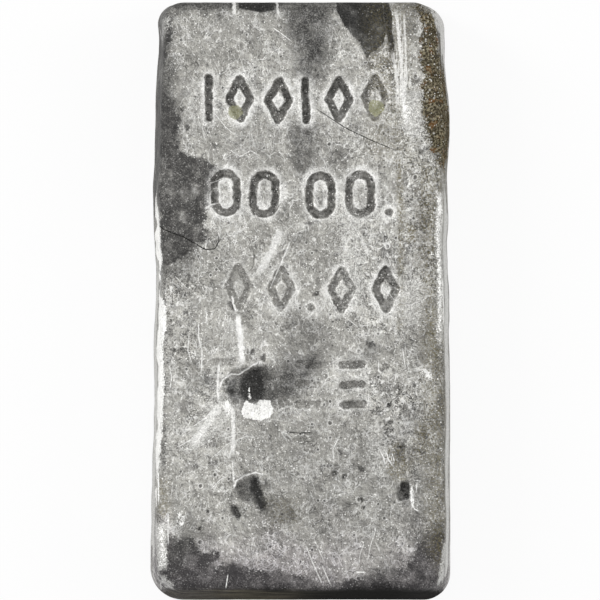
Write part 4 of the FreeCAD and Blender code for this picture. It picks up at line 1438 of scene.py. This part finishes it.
def lay_scores(coat):
    """The longer scratches and dark hairlines."""
    tree = coat.tree
    rough = calc(tree, "SUBTRACT", coat.mottle(2400.0, 3.0, 2.6), 0.5)
    off = calc(tree, "ABSOLUTE", stored(tree, "score_side"))
    line = fade(tree, calc(tree, "MULTIPLY_ADD", rough, 1.1, off), 0.7, 1.5)
    gain = stored(tree, "score_gain")
    bright = times(tree, line, calc(tree, "MAXIMUM", gain, 0.0),
                   step(tree, coat.tone, 0.1, 0.5, 0.8, 1.2))
    dark = times(tree, line, calc(tree, "MAXIMUM", times(tree, gain, -1.0), 0.0))
    coat.burnish(calc(tree, "MINIMUM", bright, 1.0), 0.3)
    coat.lay(dark, coat.finish.flow_black, 0.2, 0.6)
    coat.raise_by(calc(tree, "ADD", bright, dark), -0.6)


def lay_specks(coat):
    """Pinholes, painted glints and a few specks of rust, weaker on stains and none on the near
    wall.
    """
    tree, finish = coat.tree, coat.finish
    # Where the stains and the painted shade of the gouges lie.
    stain = calc(tree, "MAXIMUM", stored(tree, "flow_black"), stored(tree, "haze_and_hollow_shade"))
    stain = calc(tree, "MAXIMUM", stain, times(tree, stored(tree, "patina"), 0.65))
    # No specks where the painted shade of the near wall lies.
    off_end = fade(tree, stored(tree, "near_wall_shade"), 0.0, 0.6)
    for scale, share, size, strength, colour in (
            (1150.0, 0.06, 0.2, 0.75, finish.flow_black),
            (3600.0, 0.06, 0.36, 0.6, finish.flow_black),
            (230.0, 0.07, 0.055, 0.75, finish.crust_rust),
            # Painted glints.
            (2500.0, 0.1, 0.3, 0.8, finish.burnished),
            (4600.0, 0.1, 0.42, 0.85, finish.burnished)):
        specks = coat.specks(scale, share, size)["Mask"]
        weaker = step(tree, stain, 0.2, 0.8, strength, 0.15)
        coat.lay(times(tree, specks, weaker, off_end), colour, 0.5, 0.4)


def metal_material():
    """The whole skin of the bar, one layer over another."""
    coat = Coat("tarnished_indium")
    for layer in (
            scuffed_skin, lay_blotches, lay_scratches, lay_wall_grime, lay_stains, cast_cool,
            lay_marks, lay_hollows, lay_deposits, lay_bare_metal, lay_end_grime, lay_scores,
            lay_specks):
        layer(coat)
    return coat.finished(0.12 * MM, 1.0)


def crust_material():
    """Granular brown and olive crust."""
    coat = Coat("granular_crust")
    fine = coat.mottle(7000.0, 2.0, 2.0)
    grain = step(coat.tree, coat.mottle(3000.0, 4.0, 3.8), 0.35, 1.0)
    coat.start(coat.crust_colour(grain, 0.25, 1.0), 0.1, 0.6, fine)
    coat.raise_by(fine, 1.0)
    return coat.finished(0.03 * MM, 0.6)


# ---------------------------------------------------------------- operators and the stage


def finish_piece(mesh, name, replaced=None):
    """Puts a finished mesh in the frame."""
    mesh.polygons.foreach_set("use_smooth", [True] * len(mesh.polygons))
    piece = bpy.data.objects.new(name, mesh)
    bpy.context.scene.collection.objects.link(piece)
    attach(piece, BODY)
    if replaced:
        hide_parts(replaced)


class CASTBAR_OT_bar(bpy.types.Operator):
    """Cast, wear, strike and tarnish the bar"""

    bl_idname = "castbar.make_bar"
    bl_label = "Make Bar"

    def execute(self, context):
        marks = settings("struck_marks")
        points, faces, wall, under = cast_form()
        facing_up = smooth(points[:, 2], 0.2, 2.5) * (1 - under)
        placed = wander_down(points)
        # How far the painted highlights run down the walls.
        highlight_reach = wall_reach(points, 6.5 + 3.0 * smooth(points[:, 1], 1.0, 5.0))
        # Painted shade on the near wall, weaker towards its left end and a little weaker at its
        # right end.
        near_wall = wall * smooth(-points[:, 1], HALF_LENGTH - 1.7, HALF_LENGTH - 1.0)
        thinner_left = 0.55 + 0.45 * smooth(points[:, 0], -17.0, -6.0)
        thinner_right = 0.08 * smooth(points[:, 0], 12.0, 17.0)
        fields = {
            "wall": wall,
            "under": under,
            "near_wall_shade": near_wall * (thinner_left - thinner_right),
            "end_brown": smooth(-points[:, 0], -6.0, 9.0),
            "flow_black": stain_field(placed, BLACK_FLOWS_AND_HOLLOW_SHADE, facing_up * wall_reach(points, 4.5)),
            "patina": stain_field(placed, PATINA, facing_up),
            "haze_and_hollow_shade": stain_field(placed, HAZE_AND_HOLLOW_SHADE, facing_up),
            "olive": stain_field(placed, OLIVE, facing_up),
            "crust": stain_field(placed, CRUST, smooth(points[:, 2], 0.6, 7.0) * (1 - under)),
            "bare": stain_field(placed, BARE, facing_up),
            "painted_highlight": stain_field(placed, PAINTED_HIGHLIGHTS, facing_up * highlight_reach),
            "pepper": stain_field(points, PEPPER, facing_up),
            "wax": wax_field(points, facing_up),
        }
        fields["score_side"], fields["score_gain"] = score_fields(points)
        wear_edges(points)
        fields["hollow_shade"] = damage(points)
        rough = bpy.data.meshes.new("rough_bar")
        rough.from_pydata((points * MM).tolist(), [], faces)
        for name, values in fields.items():
            field = rough.attributes.new(name, "FLOAT", "POINT")
            field.data.foreach_set("value", values.astype(np.float32))
        blank = bpy.data.objects.new("rough_bar", rough)
        context.scene.collection.objects.link(blank)
        lines = mark_lines()
        metal = metal_material()
        mesh = run_trees(blank, (
            (skin_tree(), {"Material": metal, "Relief": marks.skin_relief}),
            (marks_tree(), {
                "Lines": lines, "Material": metal, "Stroke Width": marks.stroke_width,
                "Depth": marks.depth, "Lip Height": marks.lip_height}),
        ), "cast_bar")
        bpy.data.objects.remove(blank)
        bpy.data.objects.remove(lines)
        keep_in_box(mesh)
        if len(mesh.polygons) < len(faces):
            raise RuntimeError("the struck bar lost some of its faces")
        finish_piece(mesh, "cast_bar", NODE)
        return {"FINISHED"}


class CASTBAR_OT_crust(bpy.types.Operator):
    """Grow grains of crust on the bar's far right shoulder"""

    bl_idname = "castbar.make_crust"
    bl_label = "Grow Crust"

    def execute(self, context):
        marks = settings("struck_marks")
        ground = bpy.data.objects.new("crust_ground", bpy.data.objects["cast_bar"].data.copy())
        context.scene.collection.objects.link(ground)
        density = marks.grain_density / MM**2
        mesh = run_trees(ground, (
            (crust_tree(), {
                "Material": crust_material(), "Density": density, "Grain Size": marks.grain_size}),
        ), "crust_grains")
        bpy.data.objects.remove(ground)
        if not mesh.polygons:
            raise RuntimeError("no crust grew on the bar")
        keep_in_box(mesh)
        finish_piece(mesh, "crust_grains")
        return {"FINISHED"}


WHITE = (1.0, 1.0, 1.0, 1.0)


def white_to_camera(tree, shader, share):
    """A shader mixed with plain white where it is seen directly or in a reflection."""
    path = add_node(tree, "ShaderNodeLightPath")
    seen = calc(tree, "MAXIMUM", path.outputs["Is Camera Ray"], path.outputs["Is Glossy Ray"])
    seen = calc(tree, "MAXIMUM", seen, path.outputs["Is Transmission Ray"])
    white = add_node(tree, "ShaderNodeEmission", {"Color": WHITE, "Strength": 1.0}).outputs[0]
    return add_node(tree, "ShaderNodeMixShader", {
        0: calc(tree, "MULTIPLY", seen, share), 1: shader, 2: white}).outputs[0]


def make_floor(size):
    """A plain pale floor."""
    half = size / 2
    mesh = bpy.data.meshes.new("floor")
    corners = [(-half, -half, 0), (half, -half, 0), (half, half, 0), (-half, half, 0)]
    mesh.from_pydata(corners, [], [(0, 1, 2, 3)])
    floor = bpy.data.objects.new("floor", mesh)
    bpy.context.scene.collection.objects.link(floor)
    material, tree = new_material("pale_floor")
    pale_grey = (0.86, 0.86, 0.86, 1.0)
    matt = add_node(tree, "ShaderNodeBsdfDiffuse", {"Color": pale_grey}).outputs[0]
    add_node(tree, "ShaderNodeOutputMaterial", {"Surface": white_to_camera(tree, matt, 0.9)})
    mesh.materials.append(material)


def make_sky(strength):
    """Even light from all round, seen as white."""
    world = bpy.data.worlds.new("plain_sky")
    bpy.context.scene.world = world
    world.use_nodes = True
    tree = world.node_tree
    tree.nodes.clear()
    sky = add_node(
        tree, "ShaderNodeBackground", {"Color": WHITE, "Strength": strength}).outputs[0]
    add_node(tree, "ShaderNodeOutputWorld", {"Surface": white_to_camera(tree, sky, 1.0)})


def make_lamp(name, place, size, power):
    """A soft rectangular lamp that faces the bar."""
    light = bpy.data.lights.new(name, "AREA")
    light.shape = "RECTANGLE"
    light.size, light.size_y = size
    light.energy = power
    lamp = bpy.data.objects.new(name, light)
    lamp.location = place
    lamp.rotation_euler = (-Vector(place)).to_track_quat("-Z", "Y").to_euler()
    bpy.context.scene.collection.objects.link(lamp)


def make_camera(stage):
    """A long lens that looks down on the bar, its far end up."""
    data = bpy.data.cameras.new("camera")
    data.lens = stage.lens
    data.sensor_width = 36.0
    camera = bpy.data.objects.new("camera", data)
    target = Vector((0.0, 0.0002, 0.0))
    heading = Vector((0.0, -math.cos(stage.elevation), math.sin(stage.elevation)))
    camera.location = target + heading * stage.distance
    camera.rotation_euler = (-heading).to_track_quat("-Z", "Y").to_euler()
    bpy.context.scene.collection.objects.link(camera)
    bpy.context.scene.camera = camera


class CASTBAR_OT_stage(bpy.types.Operator):
    """Set the floor, the soft lamps and the camera"""

    bl_idname = "castbar.make_stage"
    bl_label = "Set Stage"

    def execute(self, context):
        stage = settings("bar_stage")
        make_floor(stage.floor_size)
        make_sky(stage.sky_strength)
        make_lamp("left_lamp", (-0.5, 0.24, 0.42), (0.18, 0.34), stage.side_power)
        make_lamp("right_lamp", (0.6, 0.12, 0.4), (0.18, 0.34), stage.fill_power)
        make_camera(stage)
        context.scene.view_settings.view_transform = "Standard"
        return {"FINISHED"}


class CASTBAR_PT_panel(bpy.types.Panel):
    """The bar's pieces, in the order they are made"""

    bl_idname = "CASTBAR_PT_panel"
    bl_label = "Cast Bar"
    bl_space_type = "VIEW_3D"
    bl_region_type = "UI"
    bl_category = "Cast Bar"

    def draw(self, context):
        for operator in OPERATORS:
            self.layout.operator(operator.bl_idname)


SETTINGS = {
    "bar_shape": BarShape,
    "struck_marks": StruckMarks,
    "finish": Finish,
    "bar_stage": StageSettings,
}
OPERATORS = (CASTBAR_OT_bar, CASTBAR_OT_crust, CASTBAR_OT_stage)
CLASSES = (*SETTINGS.values(), *OPERATORS, CASTBAR_PT_panel)


def register():
    for cls in CLASSES:
        bpy.utils.register_class(cls)
    for name, group in SETTINGS.items():
        setattr(bpy.types.Scene, name, PointerProperty(type=group))


def unregister():
    for name in SETTINGS:
        delattr(bpy.types.Scene, name)
    for cls in reversed(CLASSES):
        bpy.utils.unregister_class(cls)


def main():
    """Makes every piece."""
    register()
    bpy.ops.castbar.make_bar()
    bpy.ops.castbar.make_crust()
    bpy.ops.castbar.make_stage()


if __name__ == "__main__":
    main()
